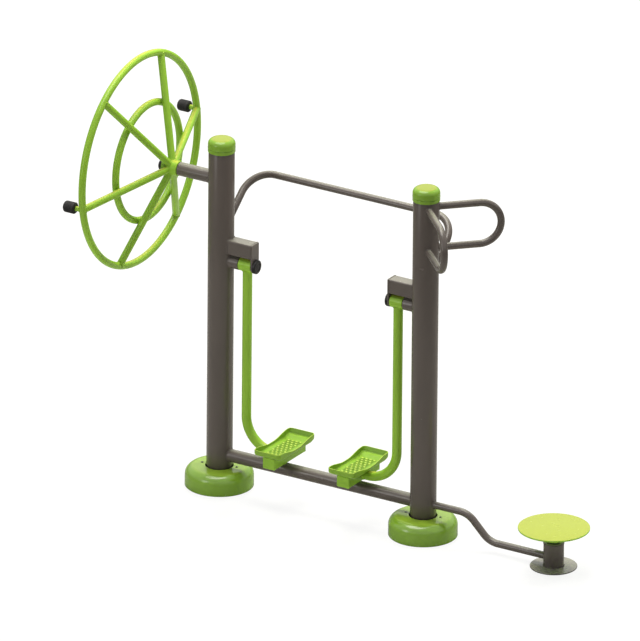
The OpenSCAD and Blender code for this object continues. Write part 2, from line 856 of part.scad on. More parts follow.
module wheel_rim() {
    color(green) at_wheel() translate([-rim_out, 0, 0]) along_x()
        rotate_extrude() translate([rim_r, 0]) ring_area(wheel_tube_d, wheel_tube_wall);
}

module wheel_inner_ring() {
    color(green) at_wheel() translate([-ring_out, 0, 0]) along_x()
        rotate_extrude() translate([ring_r, 0]) ring_area(wheel_tube_d, wheel_tube_wall);
}

module wheel_spokes() {
    color(green) at_wheel() difference() {
        for (i = [0 : spoke_count - 1])
            rotate([spoke_turn + i * 360 / spoke_count, 0, 0]) translate([-spoke_out, 0, 0])
                rotate([0, 0, 90 + spoke_lean]) along_x() tube(spoke_l, wheel_tube_d, wheel_tube_wall);
        rim_space();
        translate([-rim_out, 0, 0]) along_x() cylinder(h = rim_out, r = hub_d / 2 + weld_gap);
    }
}

// Puts a piece at each of the two grips, at the end of the first spoke and of the one opposite
module grip_place(i) {
    at_wheel() rotate([spoke_turn + i * 180, 0, 0]) translate([0, rim_r, 0]) children();
}

module grip_stubs() {
    color(green) for (i = [0, 1]) difference() {
        grip_place(i) rotate([0, -90, 0]) {
            translate([0, 0, rim_out]) cylinder(h = stub_reach, d = stub_d);
            translate([0, 0, rim_out]) cylinder(h = grip_pin_end - rim_out, d = grip_pin_d);
        }
        at_wheel() rim_space();
    }
}

module grip(i) {
    color(black) grip_place(i) rotate([0, -90, 0]) translate([0, 0, grip_start]) rotate_extrude()
        difference() {
            intersection() {
                cap_area(grip_d / 2, grip_l, grip_round);
                polygon([[0, 0], [grip_d / 2 - grip_chamfer, 0], [grip_d / 2, grip_chamfer], [grip_d / 2, grip_l],
                    [0, grip_l]]);
            }
            translate([0, -cut])
                square([grip_pin_d / 2 + run_clear, grip_l - grip_nose + cut + grip_gap]);
        }
}

module front_grip() grip(1);
module back_grip() grip(0);

// Waist twister and the tube that ties it to the right post

// The slanting length is a slip joint: it laps over the ends of both bends and is a little thicker
module twister_link_tube() {
    low_end = link_low_corner + link_corner_l;
    slope = link_slope_l - 2 * link_corner_l + 2 * lap_l;
    color(brown) difference() {
        translate([post_span, 0, 0]) rotate([90, 0, 0]) {
            translate([0, link_top_z, 0]) along_x() tube(link_corner - link_corner_l, link_d, link_wall);
            translate([link_corner - link_corner_l, link_top_z, 0]) mirror([0, 1, 0])
                bend(link_bend_r, link_fall, link_d, link_wall);
            translate([link_corner, link_top_z, 0]) rotate([0, 0, -link_fall])
                translate([link_corner_l - lap_l, 0, 0]) along_x()
                    tube(slope, link_d + 2 * lap_step, link_wall + 2 * lap_step);
            translate([low_end, link_low_z, 0]) mirror([1, 0, 0])
                bend(link_bend_r, link_fall, link_d, link_wall);
            translate([low_end, link_low_z, 0]) along_x() tube(twister_reach - low_end, link_d, link_wall);
        }
        post_space(post_span);
        translate([twister_x, 0, 0]) cylinder(h = pillar_top_z, r = pillar_d / 2 + weld_gap);
    }
}

module twister_base_plate() {
    color(brown) translate([twister_x, 0, 0]) cylinder(h = base_plate_t, d = base_plate_d);
}

module twister_pillar() {
    color(brown) translate([twister_x, 0, base_plate_t])
        tube(pillar_top_z - head_plate_t - base_plate_t, pillar_d, pillar_wall);
}

module twister_spindle() {
    color(brown) translate([twister_x, 0, pillar_top_z - head_plate_t]) {
        cylinder(h = head_plate_t, d = pillar_d);
        cylinder(h = twister_nut_z - pillar_top_z + head_plate_t, d = axle_d);
        cylinder(h = twister_nut_z - pillar_top_z + head_plate_t + thread_l, d = thread_d);
    }
}

module twister_housing() {
    color(green) translate([twister_x, 0, housing_low_z]) tube(housing_l, housing_d, sleeve_wall);
}

module twister_bearings() {
    color(steel) translate([twister_x, 0, 0]) {
        translate([0, 0, housing_low_z + bearing_inset]) bearing();
        translate([0, 0, twister_nut_z - nut_gap - bearing_w]) bearing();
    }
}

module twister_disc() {
    color(green) translate([twister_x, 0, disc_low_z]) cylinder(h = disc_t, d = disc_d);
}

left_post();
right_post();
left_post_cap();
right_post_cap();
left_base_flange();
right_base_flange();
left_cover_front();
left_cover_back();
right_cover_front();
right_cover_back();
cover_screws();
lower_crossbar();
handrail();
front_grab_loop();
back_grab_loop();
left_bracket_arm();
left_bracket_plate();
left_pivot_boss();
left_pivot_axle();
left_axle_cap();
right_bracket_arm();
right_bracket_plate();
right_pivot_boss();
right_pivot_axle();
right_axle_cap();
axle_nuts();
wheel_arm_tube();
wheel_spindle();
twister_link_tube();
twister_base_plate();
twister_pillar();
twister_spindle();
left_leg_sleeve();
left_leg_bearings();
left_leg_tube();
left_tray_carrier();
left_carrier_ends();
left_foot_tray();
left_tray_bolts();
right_leg_sleeve();
right_leg_bearings();
right_leg_tube();
right_tray_carrier();
right_carrier_ends();
right_foot_tray();
right_tray_bolts();
wheel_rim();
wheel_inner_ring();
wheel_spokes();
wheel_hub();
wheel_bearings();
wheel_hub_cap();
grip_stubs();
front_grip();
back_grip();
twister_disc();
twister_housing();
twister_bearings();
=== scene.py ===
import math

import bmesh
import bpy
import numpy as np
from mathutils import Matrix, Vector


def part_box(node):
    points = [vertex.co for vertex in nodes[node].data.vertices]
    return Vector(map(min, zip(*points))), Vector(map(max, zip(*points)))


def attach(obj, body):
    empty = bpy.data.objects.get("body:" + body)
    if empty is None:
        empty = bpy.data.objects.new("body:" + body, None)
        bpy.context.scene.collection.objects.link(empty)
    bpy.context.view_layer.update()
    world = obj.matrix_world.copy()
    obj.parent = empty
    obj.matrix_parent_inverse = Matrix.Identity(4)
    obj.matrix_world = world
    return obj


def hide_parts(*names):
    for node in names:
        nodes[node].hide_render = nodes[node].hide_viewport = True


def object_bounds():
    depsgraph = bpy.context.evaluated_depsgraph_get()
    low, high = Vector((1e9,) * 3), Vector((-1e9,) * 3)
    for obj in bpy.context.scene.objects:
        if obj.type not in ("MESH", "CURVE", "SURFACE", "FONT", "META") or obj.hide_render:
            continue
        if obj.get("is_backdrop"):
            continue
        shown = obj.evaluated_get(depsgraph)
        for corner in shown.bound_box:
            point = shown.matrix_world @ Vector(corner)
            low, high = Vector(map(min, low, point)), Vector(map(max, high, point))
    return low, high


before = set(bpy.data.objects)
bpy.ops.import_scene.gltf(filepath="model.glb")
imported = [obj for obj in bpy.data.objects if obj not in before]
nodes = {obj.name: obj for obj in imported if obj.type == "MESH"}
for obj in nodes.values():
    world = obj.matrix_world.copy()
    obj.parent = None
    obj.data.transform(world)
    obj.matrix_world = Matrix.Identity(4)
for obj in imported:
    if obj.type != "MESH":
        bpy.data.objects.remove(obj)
cad_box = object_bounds()

# Camera: the photograph looks down at the front from the right, almost without perspective,
# so the camera stands far off behind a long lens. Its place follows from one pixel, where the
# left post's axis meets the ground.
photo_size = (640, 641)
base_pixel = (218.7, 484.7)
pixels_per_metre = 232.9
view_turn, view_height, view_roll = map(math.radians, (31.38, 22.49, 0.50))
lens, sensor = 1500.0, 36.0

level = Vector((math.cos(view_turn), math.sin(view_turn), 0))
back = Vector((math.sin(view_turn) * math.cos(view_height), -math.cos(view_turn) * math.cos(view_height),
               math.sin(view_height)))
upright = back.cross(level)
right = level * math.cos(view_roll) + upright * math.sin(view_roll)
up = upright * math.cos(view_roll) - level * math.sin(view_roll)
shift = photo_size[0] / 2 - base_pixel[0], base_pixel[1] - photo_size[1] / 2
middle = (right * shift[0] + up * shift[1]) / pixels_per_metre
middle += back * ((cad_box[0] + cad_box[1]) / 2 - middle).dot(back)
into_scene = bpy.context.scene.collection.objects.link
camera = bpy.data.objects.new("camera", bpy.data.cameras.new("camera"))
camera.data.lens, camera.data.sensor_width = lens, sensor
distance = lens / sensor * max(photo_size) / pixels_per_metre
camera.data.clip_end = 2 * distance
stance = Matrix((right, up, back)).transposed().to_4x4()
camera.matrix_world = Matrix.Translation(middle + back * distance) @ stance
into_scene(camera)
bpy.context.scene.camera = camera
bpy.context.scene.view_settings.view_transform = "Standard"


# Shader expressions, first needed by the floor: the sockets of a material's nodes are added,
# multiplied and blended like numbers and colours.
def fill(node, values):
    """Links a node's sockets to terms, or writes plain values into them."""
    for name, value in values.items():
        if isinstance(value, Term):
            value.tree.links.new(value.output, node.inputs[name])
        else:
            node.inputs[name].default_value = value


class Term:
    """An output socket in a material's node tree. Arithmetic with numbers or other Terms adds Math nodes."""

    def __init__(self, tree, output=None):
        self.tree, self.output = tree, output

    def node(self, kind, settings=None, values=None, output=0):
        """Adds a node with its settings and its sockets' values, and gives one of its outputs."""
        made = self.tree.nodes.new("ShaderNode" + kind)
        for name, value in (settings or {}).items():
            setattr(made, name, value)
        fill(made, values or {})
        return Term(self.tree, made.outputs[output])

    def math(self, operation, *terms):
        """A Math node over these terms and numbers."""
        return self.node("Math", {"operation": operation}, dict(enumerate(terms)))

    def __add__(self, other):
        return self.math("ADD", self, other)

    def __mul__(self, other):
        return self.math("MULTIPLY", self, other)

    def __sub__(self, other):
        return self.math("SUBTRACT", self, other)

    def __rsub__(self, other):
        return self.math("SUBTRACT", other, self)

    __radd__, __rmul__ = __add__, __mul__

    def between(self, low, high):
        """0 below low, 1 above high, and a smooth step between them."""
        return self.node("MapRange", {"interpolation_type": "SMOOTHSTEP"}, {0: self, 1: low, 2: high})

    def blend(self, first, second):
        """Colour that goes from first to second as this term goes from 0 to 1."""
        return self.node("Mix", {"data_type": "RGBA"}, {0: self, 6: first, 7: second}, 2)

    def grain(self, scale, detail=2.0, stretch=(1, 1, 1)):
        """Noise about 1 / scale metres across, on the object's own coordinates, drawn out by stretch."""
        place = self.node("TexCoord", output="Object")
        place = self.node("Mapping", values={"Vector": place, "Scale": stretch})
        return self.node("TexNoise", values={"Vector": place, "Scale": scale, "Detail": detail})

    def z_of(self, kind, output):
        """Z of a vector that a node without inputs gives."""
        return self.node("SeparateXYZ", values={0: self.node(kind, output=output)}, output="Z")

    def raised(self, strength, depth):
        """Bump that this term raises by up to depth metres."""
        return self.node("Bump", values={"Strength": strength, "Distance": depth, "Height": self})


def paint(rgb, share=1.0):
    """A colour for a socket, made darker or lighter by share."""
    return (*(share * c for c in rgb), 1.0)


def new_finish(name):
    """A new material, its shader, and a Term from which its nodes are made."""
    finish = bpy.data.materials.new(name)
    finish.use_nodes = True
    return finish, finish.node_tree.nodes["Principled BSDF"], Term(finish.node_tree)


# Floor and light: a pale studio floor that the camera sees as white wherever no shadow falls. The
# main lamp is high up behind, for bright level tops, with weaker ones behind, above, in front and
# beside. Polished faces mirror a bright upper sky, a dark horizon and a dark floor.
floor_reach, floor_corners = 14.0, ((-1, -1), (1, -1), (1, 1), (-1, 1))
floor_tone, floor_mottle, floor_rough, floor_shine = (0.80, 0.80, 0.79), 0.985, 0.9, 0.1
floor_lift, far_lift, seen_share, mirrored_floor = 0.86, 1.0, 0.14, 0.35
near_floor, far_floor = 3.0, 8.0
world_strength, mirrored_low, mirrored_high = 0.26, 0.20, 1.10
horizon, bright_from = 0.05, 0.36
lamp_aim = Vector((0.6, 0, 0.8))
lamps = {  # place, size, power in watts, colour, whether it shows in reflections
    "main_lamp": ((-1.9, 4.2, 7.0), 3.8, 700, (1.0, 0.97, 0.88), False),
    "rear_lamp": ((3.4, 4.4, 6.6), 2.6, 330, (1.0, 0.97, 0.88), False),
    "overhead_lamp": ((-0.5, -0.4, 7.4), 5.2, 440, (1.0, 0.97, 0.90), True),
    "front_lamp": ((-1.6, -4.6, 2.2), 2.2, 38, (1.0, 0.99, 0.97), True),
    "side_lamp": ((5.4, 0.9, 1.7), 1.6, 11, (1.0, 0.99, 0.95), False),
}
floor_mesh = bpy.data.meshes.new("floor")
floor_mesh.from_pydata([(floor_reach * x, floor_reach * y, 0) for x, y in floor_corners], [], [(0, 1, 2, 3)])
floor = bpy.data.objects.new("floor", floor_mesh)
into_scene(floor)
floor_finish, floor_shader, start = new_finish("studio_floor")
pale = start.grain(3.0).between(0.3, 0.7).blend(paint(floor_tone), paint(floor_tone, floor_mottle))
pale = start.node("LightPath", output="Is Glossy Ray").blend(pale, paint(floor_tone, mirrored_floor))
seen = start.node("LightPath", output="Is Camera Ray")
pale = seen.blend(pale, paint(floor_tone, seen_share))
far_off = start.node("VectorMath", {"operation": "LENGTH"}, {0: start.node("TexCoord", output="Object")}, 1)
lift = far_off.between(near_floor, far_floor).blend(paint((floor_lift,) * 3), paint((far_lift,) * 3))
fill(floor_shader, {"Base Color": pale, "Roughness": floor_rough, "Specular IOR Level": floor_shine,
                    "Emission Strength": 1.0, "Emission Color": seen.blend(paint((0, 0, 0)), lift)})
floor_mesh.materials.append(floor_finish)
floor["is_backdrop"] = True

world = bpy.data.worlds.new("studio")
world.use_nodes = True
bpy.context.scene.world = world
sky = Term(world.node_tree)
rising = sky.z_of("TexCoord", "Generated").between(horizon, bright_from)
mirrored_sky = rising * (mirrored_high - mirrored_low) + (mirrored_low - world_strength)
strength = world_strength + sky.node("LightPath", output="Is Camera Ray") * (1 - world_strength)
strength = strength + sky.node("LightPath", output="Is Glossy Ray") * mirrored_sky
fill(world.node_tree.nodes["Background"], {"Color": paint((1, 1, 1)), "Strength": strength})

for name, (place, size, power, colour, mirrored) in lamps.items():
    lamp = bpy.data.lights.new(name, "AREA")
    lamp.shape, lamp.size, lamp.energy, lamp.color = "DISK", size, power, colour
    holder = bpy.data.objects.new(name, lamp)
    holder.location, holder.visible_glossy = place, mirrored
    holder.rotation_euler = (lamp_aim - holder.location).to_track_quat("-Z", "Y").to_euler()
    into_scene(holder)


# Powder coat, first needed by the base flanges: brown on all that stands still, green on what moves.
# It is sprayed on blasted steel and baked: glossy, with a fine orange peel, faint drift in its tone
# along the tubes, painted light that makes faces looking up paler, and a little dust near the ground.
# The second tone of each pair is painted light: the paler colour of faces that look up, lit from above.
brown, lit_top_brown = (0.084, 0.069, 0.060), (0.195, 0.190, 0.158)
green, lit_top_green = (0.218, 0.400, 0.030), (0.350, 0.385, 0.045)
dust_tone, dust_top, lit_top_from, lit_top_share, peel_depth = (0.44, 0.42, 0.37), 0.12, 0.75, 0.85, 0.0006


def coat(name, tone, lit_top_tone, shine, peel):
    """Powder coat of one tone. shine is its specular level and peel the strength of its orange peel."""
    finish, shader, t = new_finish(name)
    drift = t.grain(7.0, 3.0, (1, 1, 0.35)).between(0.25, 0.75)
    speck = t.grain(900.0, 1.0).between(0.62, 0.74) * 0.15
    # Painted light: faces that look up are blended towards a paler tone, as if lit from above.
    facing = t.z_of("NewGeometry", "Normal").between(lit_top_from, 1.0)
    low = 1 - t.z_of("TexCoord", "Object").between(0.0, dust_top)
    dust = (facing * 0.02 + low * 0.04) * t.grain(38.0, 4.0).between(0.38, 0.72)
    tint = drift.blend(paint(tone, 0.93), paint(tone, 1.07))
    tint = speck.blend(tint, paint(tone, 0.6))
    tint = (facing * lit_top_share).blend(tint, paint(lit_top_tone))
    tint = dust.blend(tint, paint(dust_tone))
    rough = 0.20 + t.grain(22.0, 3.0) * 0.10 + dust * 0.9
    skin = t.grain(260.0, 1.5).raised(peel, peel_depth)
    fill(shader, {"Base Color": tint, "Roughness": rough, "Normal": skin, "Specular IOR Level": shine})
    return finish


def coated(names, finish):
    """Gives its finish to CAD nodes that stay as they are."""
    for name in names:
        nodes[name].data.materials.clear()
        nodes[name].data.materials.append(finish)


brown_coat = coat("brown_powder_coat", brown, lit_top_brown, 0.50, 0.06)
green_coat = coat("green_powder_coat", green, lit_top_green, 0.28, 0.06)
coated(("left_base_flange", "right_base_flange"), brown_coat)


# Posts: cold-drawn steel tubes, Ø114, welded on their base flanges and closed by the caps. The
# crossbar, handrail, loops and brackets are coped to them and welded on.
merge_gap, sliver = 2e-6, 1e-7


def surface(name, grids, finish, crease=35):
    """One object from grids of points, each (rows, columns, 3). Rows or columns that come together
    are merged, so seams and poles close, and the faces are turned outwards."""
    points, faces, first = [], [], 0
    for grid in grids:
        rows, columns = grid.shape[:2]
        index = first + np.arange(rows * columns).reshape(rows, columns)
        corners = index[:-1, :-1], index[:-1, 1:], index[1:, 1:], index[1:, :-1]
        faces.append(np.stack(corners, -1).reshape(-1, 4))
        points.append(grid.reshape(-1, 3))
        first += rows * columns
    mesh = bpy.data.meshes.new(name)
    mesh.from_pydata(np.concatenate(points).tolist(), [], np.concatenate(faces).tolist())
    work = bmesh.new()
    work.from_mesh(mesh)
    bmesh.ops.remove_doubles(work, verts=work.verts, dist=merge_gap)
    bmesh.ops.dissolve_degenerate(work, edges=work.edges, dist=sliver)
    bmesh.ops.recalc_face_normals(work, faces=work.faces)
    work.to_mesh(mesh)
    work.free()
    mesh.shade_smooth()
    mesh.set_sharp_from_angle(angle=math.radians(crease))
    mesh.materials.append(finish)
    made = bpy.data.objects.new(name, mesh)
    into_scene(made)
    return made


def fix(piece, body, slot, *stands_for):
    """Puts a piece on its body in place of the CAD nodes that it stands for. slot is not used."""
    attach(piece, body)
    if stands_for:
        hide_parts(*stands_for)
    return piece


def standing(name, grids, *stands_for, finish=brown_coat, crease=35):
    """A brown piece of the frame."""
    fix(surface(name, grids, finish, crease), "frame", "brown_paint", *stands_for)


def eased(corners, radii, steps=8, closed=False):
    """Line through the corners with each one rounded: an arc of its radius that touches both sides."""
    corners = np.array(corners, float)
    parts = []
    for i, radius in enumerate(radii):
        corner = corners[i]
        if radius == 0:
            parts.append(corner[None])
            continue
        before, after = corners[i - 1] - corner, corners[(i + 1) % len(corners)] - corner
        before, after = before / np.linalg.norm(before), after / np.linalg.norm(after)
        half = math.acos(before @ after) / 2
        inward = (before + after) / (2 * math.cos(half))
        across = (after - before) / (2 * math.sin(half))
        turn = np.linspace(half - math.pi / 2, math.pi / 2 - half, steps + 1)[:, None]
        arc = inward / math.sin(half) - inward * np.cos(turn) + across * np.sin(turn)
        parts.append(corner + radius * arc)
    line = np.concatenate(parts)
    return np.concatenate([line, line[:1]]) if closed else line


def boxed(u, v, rounds, steps=8):
    """Closed outline of a rectangle over the ranges u and v, with each corner rounded."""
    return eased([(u[1], v[0]), (u[1], v[1]), (u[0], v[1]), (u[0], v[0])], rounds, steps, closed=True)


def turned(profile, at=(0, 0, 0), axis=(0, 0, 1), count=96):
    """Surface of revolution: profile points (radius, height) turned round the axis through at."""
    profile, axis = np.asarray(profile, float), Vector(axis)
    turn = np.linspace(0, math.tau, count + 1)
    r, h = profile[:, :1], profile[:, 1:]
    grid = np.stack([r * np.cos(turn), r * np.sin(turn), h + 0 * turn], -1)
    return grid @ np.array(axis.to_track_quat("Z", "Y").to_matrix()).T + np.array(at)


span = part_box("right_base_flange")[0].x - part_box("left_base_flange")[0].x
sides, posts_at = ("left", "right"), (("left", 0), ("right", span))
post_low, post_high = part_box("left_post")
post_r, post_wall, post_edge = post_high.x, 0.003, 0.0006
post_profile = boxed((post_r - post_wall, post_r), (post_low.z, post_high.z), [post_edge] * 4, steps=2)
for side, x in posts_at:
    standing(side + "_post_tube", [turned(post_profile, (x, 0, 0), count=160)], side + "_post")


# Foot covers: two green moulded halves a post, which meet in a fine seam behind the screws and
# hide the flange and its anchor bolts. Gloss plastic, with a rounded shoulder and a low lip at the neck.
scuff_top, scuff_share, moulding_skin = 0.03, 0.25, 0.0005


def moulding(name, tone, lit_top_tone, shine):
    """Gloss moulded plastic of one tone: faint flow marks, a very fine skin and a soft shine."""
    finish, shader, t = new_finish(name)
    flow = t.grain(11.0, 3.0, (1, 1, 2.5)).between(0.3, 0.7)
    # Painted light: level tops are blended towards a paler tone, as if lit from above.
    facing = t.z_of("NewGeometry", "Normal").between(0.88, 0.99)
    low = 1 - t.z_of("TexCoord", "Object").between(0.0, scuff_top)
    scuff = low * t.grain(60.0, 4.0).between(0.45, 0.75) * scuff_share
    tint = flow.blend(paint(tone, 0.95), paint(tone, 1.06))
    tint = facing.blend(tint, paint(lit_top_tone))
    tint = scuff.blend(tint, paint([0.55 * c + 0.06 for c in tone]))
    rough = 0.12 + t.grain(30.0, 2.0) * 0.08 + scuff
    skin = t.grain(340.0, 1.0).raised(0.06, moulding_skin)
    fill(shader, {"Base Color": tint, "Roughness": rough, "Normal": skin, "Specular IOR Level": shine})
    return finish


moulding_tone = (0.168, 0.310, 0.024)
# The second tone is painted light: the paler colour of the covers' level tops.
cover_green = moulding("green_moulding", moulding_tone, (0.215, 0.350, 0.028), 0.60)
cover_overhang, cover_gap, cover_wall, cover_shoulder, cover_base_edge = 0.020, 0.005, 0.003, 0.042, 0.0015
cover_lip_w, cover_lip_h, cover_lip_edge, cover_side_shares = 0.002, 0.0006, 0.0008, (0.15, 0.3, 0.45)
cover_turn, seam_setback, seam_gap = math.radians(11.9), 0.011, 0.0005
cover_r, cover_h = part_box("left_base_flange")[1].x + cover_overhang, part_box("left_cover_back")[1].z
cover_neck, cover_top = post_r + cover_gap, cover_h - cover_lip_h
cover_outside = eased(
    [(cover_r, 0), (cover_r, cover_top), (cover_neck + 2 * cover_lip_w, cover_top),
     (cover_neck + cover_lip_w, cover_h), (cover_neck, cover_h)],
    [0, cover_shoulder, cover_lip_w, cover_lip_edge, 0], steps=14)
cover_side = [(cover_r - cover_base_edge, 0), (cover_r, cover_base_edge)]
cover_side += [(cover_r, cover_top * share) for share in cover_side_shares]
cover_outside = np.concatenate([cover_side, cover_outside[1:]])
cover_inside = eased(
    [(cover_r - cover_wall, 0), (cover_r - cover_wall, cover_top - cover_wall),
     (cover_neck + 2 * cover_lip_w, cover_top - cover_wall), (cover_neck, cover_top - cover_wall)],
    [0, cover_shoulder - cover_wall, cover_lip_w, 0], steps=14)


def half_shell(profile, back, count=110):
    """Half of a turned surface, cut by a line beside its axis: at each radius the arc runs from one
    side of the cut to the other, so its ends lie straight along the seam."""
    r, z = profile[:, :1], profile[:, 1:]
    offset = seam_setback + (seam_gap / 2 if back else -seam_gap / 2)
    edge = np.arcsin(offset / r)
    share = np.linspace(0, 1, count + 1)
    turn = edge + (math.pi - 2 * edge) * share if back else math.pi - edge + (math.pi + 2 * edge) * share
    return np.stack([r * np.cos(turn + cover_turn), r * np.sin(turn + cover_turn), z + 0 * turn], -1)


def run_along(line):
    """Length from a line's start to each of its points."""
    return np.concatenate([[0], np.cumsum(np.linalg.norm(np.diff(line, axis=0), axis=1))])


def sampled(line, count):
    """The line again with count points at equal lengths along it, and those lengths."""
    run = run_along(line)
    place = np.linspace(0, run[-1], count)
    return np.stack([np.interp(place, run, line[:, k]) for k in range(3)], -1), place


for side, x in posts_at:
    for part in ("front", "back"):
        outer, inner = (half_shell(profile, part == "back") for profile in (cover_outside, cover_inside))
        inner = np.stack([sampled(inner[:, k], len(outer))[0] for k in range(inner.shape[1])], 1)
        rims = [np.stack([outer[rim], inner[rim]]) for rim in (0, -1, np.s_[:, 0], np.s_[:, -1])]
        grids = [g + np.array((x, 0, 0)) for g in [outer, inner] + rims]
        fix(surface(f"{side}_cover_{part}_shell", grids, cover_green, crease=30),
            "frame", "green_plastic", f"{side}_cover_{part}")


# Cover screws: blackened pan-head screws with a hexagon socket, two a cover, through the front
# half into the tab under it.
def metal(name, tone, rough, brushed):
    """Bare or plated metal: a base tone with blotches, and lines brushed round or along it."""
    finish, shader, t = new_finish(name)
    blotch = t.grain(90.0, 3.0).between(0.3, 0.7)
    lines = t.grain(1.0, 2.0, brushed)
    fill(shader, {"Base Color": blotch.blend(paint(tone, 0.82), paint(tone)), "Metallic": 1.0,
                  "Roughness": rough + blotch * 0.12 + lines * 0.10, "Normal": lines.raised(0.15, 0.0002)})
    return finish


black_steel = metal("black_steel", (0.10, 0.10, 0.10), 0.30, (500, 500, 500))
zinc = metal("zinc_plate", (0.62, 0.63, 0.64), 0.28, (900, 900, 120))
screw_reach, screw_head_r, screw_head_h, screw_edge, screw_dome = 0.079, 0.0055, 0.0024, 0.0003, 0.0015
screw_shank_r, screw_length, socket_r, socket_depth = 0.0025, 0.014, 0.0016, 0.0014
well_r = 1.3 * socket_r
screw_places = [(x + turn * screw_reach * math.cos(cover_turn), turn * screw_reach * math.sin(cover_turn))
                for x in (0, span) for turn in (-1, 1)]


def socket_screw(at):
    """Round head turned from a domed profile; inside the socket each ring's radius follows a
    hexagon: apothem / cos(angle to the nearest flat)."""
    head = [(screw_shank_r, 0), (screw_head_r, 0), (screw_head_r, screw_head_h), (well_r, screw_head_h)]
    head = eased(head, [0, screw_edge, screw_dome, 0], steps=4)
    shank = [(screw_shank_r, 0), (screw_shank_r, -screw_length), (0, -screw_length)]
    turn = np.linspace(0, math.tau, 49)
    flat = socket_r / np.cos((turn + math.pi / 6) % (math.pi / 3) - math.pi / 6)
    well_z = screw_head_h - socket_depth
    rings = (well_r + 0 * turn, screw_head_h), (flat, screw_head_h), (flat, well_z), (0 * turn, well_z)
    well = np.stack([np.stack([r * np.cos(turn), r * np.sin(turn), h + 0 * turn], -1) for r, h in rings])
    return [turned(head, at, count=48), well + np.array(at), turned(shank, at, count=48)]


screws = [g for x, y in screw_places for g in socket_screw((x, y, cover_top))]
fix(surface("cover_pan_screws", screws, black_steel), "frame", "dark_steel", "cover_screws")


# Post caps: green mouldings pressed over the post ends, with a ridge over a groove round the skirt,
# a rounded shoulder and a level top that crowns a little.
# The second tone is painted light: the paler colour of the caps' level tops.
cap_green = moulding("green_cap_moulding", moulding_tone, (0.215, 0.265, 0.022), 0.40)
cap_low, cap_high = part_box("left_post_cap")
ridge_h, ridge_out, ridge_edge = 0.003, 0.0006, 0.0005
groove_h, groove_depth, groove_edge, groove_round = 0.0032, 0.0019, 0.0004, 0.0003
cap_wall, cap_shoulder, cap_crown, cap_mouth = 0.0027, 0.024, 0.0008, 0.0010
cap_r, cap_h = cap_high.x - ridge_out, cap_high.z - cap_low.z
ridge_z, cap_roof = (cap_h - cap_shoulder) / 2, cap_h - cap_wall - cap_crown
groove_r, ridge_r = cap_r - groove_depth, cap_r + ridge_out
cap_outside = eased(
    [(cap_r - cap_wall, 0), (cap_r, 0), (cap_r, ridge_z - groove_h), (groove_r, ridge_z - groove_h / 2),
     (groove_r, ridge_z), (ridge_r, ridge_z), (ridge_r, ridge_z + ridge_h), (cap_r, ridge_z + ridge_h),
     (cap_r, cap_h - cap_crown), (0, cap_h - cap_crown)],
    [0, cap_mouth, groove_edge, groove_round, groove_round, ridge_edge, ridge_edge, groove_round,
     cap_shoulder, 0], steps=10)
cap_inside = eased([(0, cap_roof), (cap_r - cap_wall, cap_roof), (cap_r - cap_wall, 0)],
                   [0, cap_shoulder - cap_wall, 0], steps=12)
plateau = np.linspace(cap_outside[-2][0], 0, 10)
crown = np.stack([plateau, cap_h - cap_crown * (plateau / plateau[0]) ** 2], -1)
cap_profile = np.concatenate([cap_outside[:-2], crown, cap_inside])
for side, x in posts_at:
    cap = turned(cap_profile, (x, 0, cap_low.z), count=128)
    cap = surface(side + "_cap_moulding", [cap], cap_green, crease=30)
    fix(cap, "frame", "green_plastic", side + "_post_cap")


# Crossbar: straight tube, Ø57, between the posts' feet; its ends are cut to the posts' round and
# welded all the way about.
bead_size, bead_pitch, bead_ripple, post_beads = 0.0026, 0.0028, 0.16, []


def carried(path, radius, flat, count):
    """Tube: a circle carried along a path that lies in one plane, whose normal is flat. At each point
    the circle spans flat and flat x tangent."""
    path, flat = np.asarray(path, float), np.array(flat, float) / np.linalg.norm(flat)
    ahead = np.gradient(path, axis=0)
    ahead[0], ahead[-1] = path[1] - path[0], path[-1] - path[-2]
    ahead /= np.linalg.norm(ahead, axis=1)[:, None]
    turn = np.linspace(0, math.tau, count + 1)[None, :, None]
    return path[:, None] + radius * (np.cos(turn) * flat + np.sin(turn) * np.cross(flat, ahead)[:, None])


def onto_tube(points, way, at, axis, radius):
    """Points slid along a direction to the near skin of a tube: the smaller root of the square in t."""
    at, axis = np.array(at, float), np.array(axis, float) / np.linalg.norm(axis)
    off = points - at
    off = off - (off @ axis)[:, None] * axis
    run = way - (way @ axis) * axis
    a, b, c = run @ run, off @ run, (off ** 2).sum(1) - radius ** 2
    t = (-b - np.sqrt(np.maximum(b * b - a * c, 0))) / a
    return points + t[:, None] * way


def coped(path, radius, flat, start, end, count=56):
    """Tube whose first and last rings are drawn along it to the skins of the tubes that it meets."""
    raw = carried(path, radius, flat, count)
    grid = raw.copy()
    for row, beside, tube in ((0, 1, start), (-1, -2, end)):
        if tube is not None:
            grid[row] = onto_tube(raw[beside], raw[row].mean(0) - raw[beside].mean(0), *tube)
    return grid


def stopped(grid, far=True):
    """The same tube with its first end, and the far one too, closed by a fan to the ring's middle."""
    first, last = (np.repeat(ring.mean(0)[None, None], grid.shape[1], 1) for ring in (grid[0], grid[-1]))
    return np.concatenate([first, grid, last] if far else [first, grid])


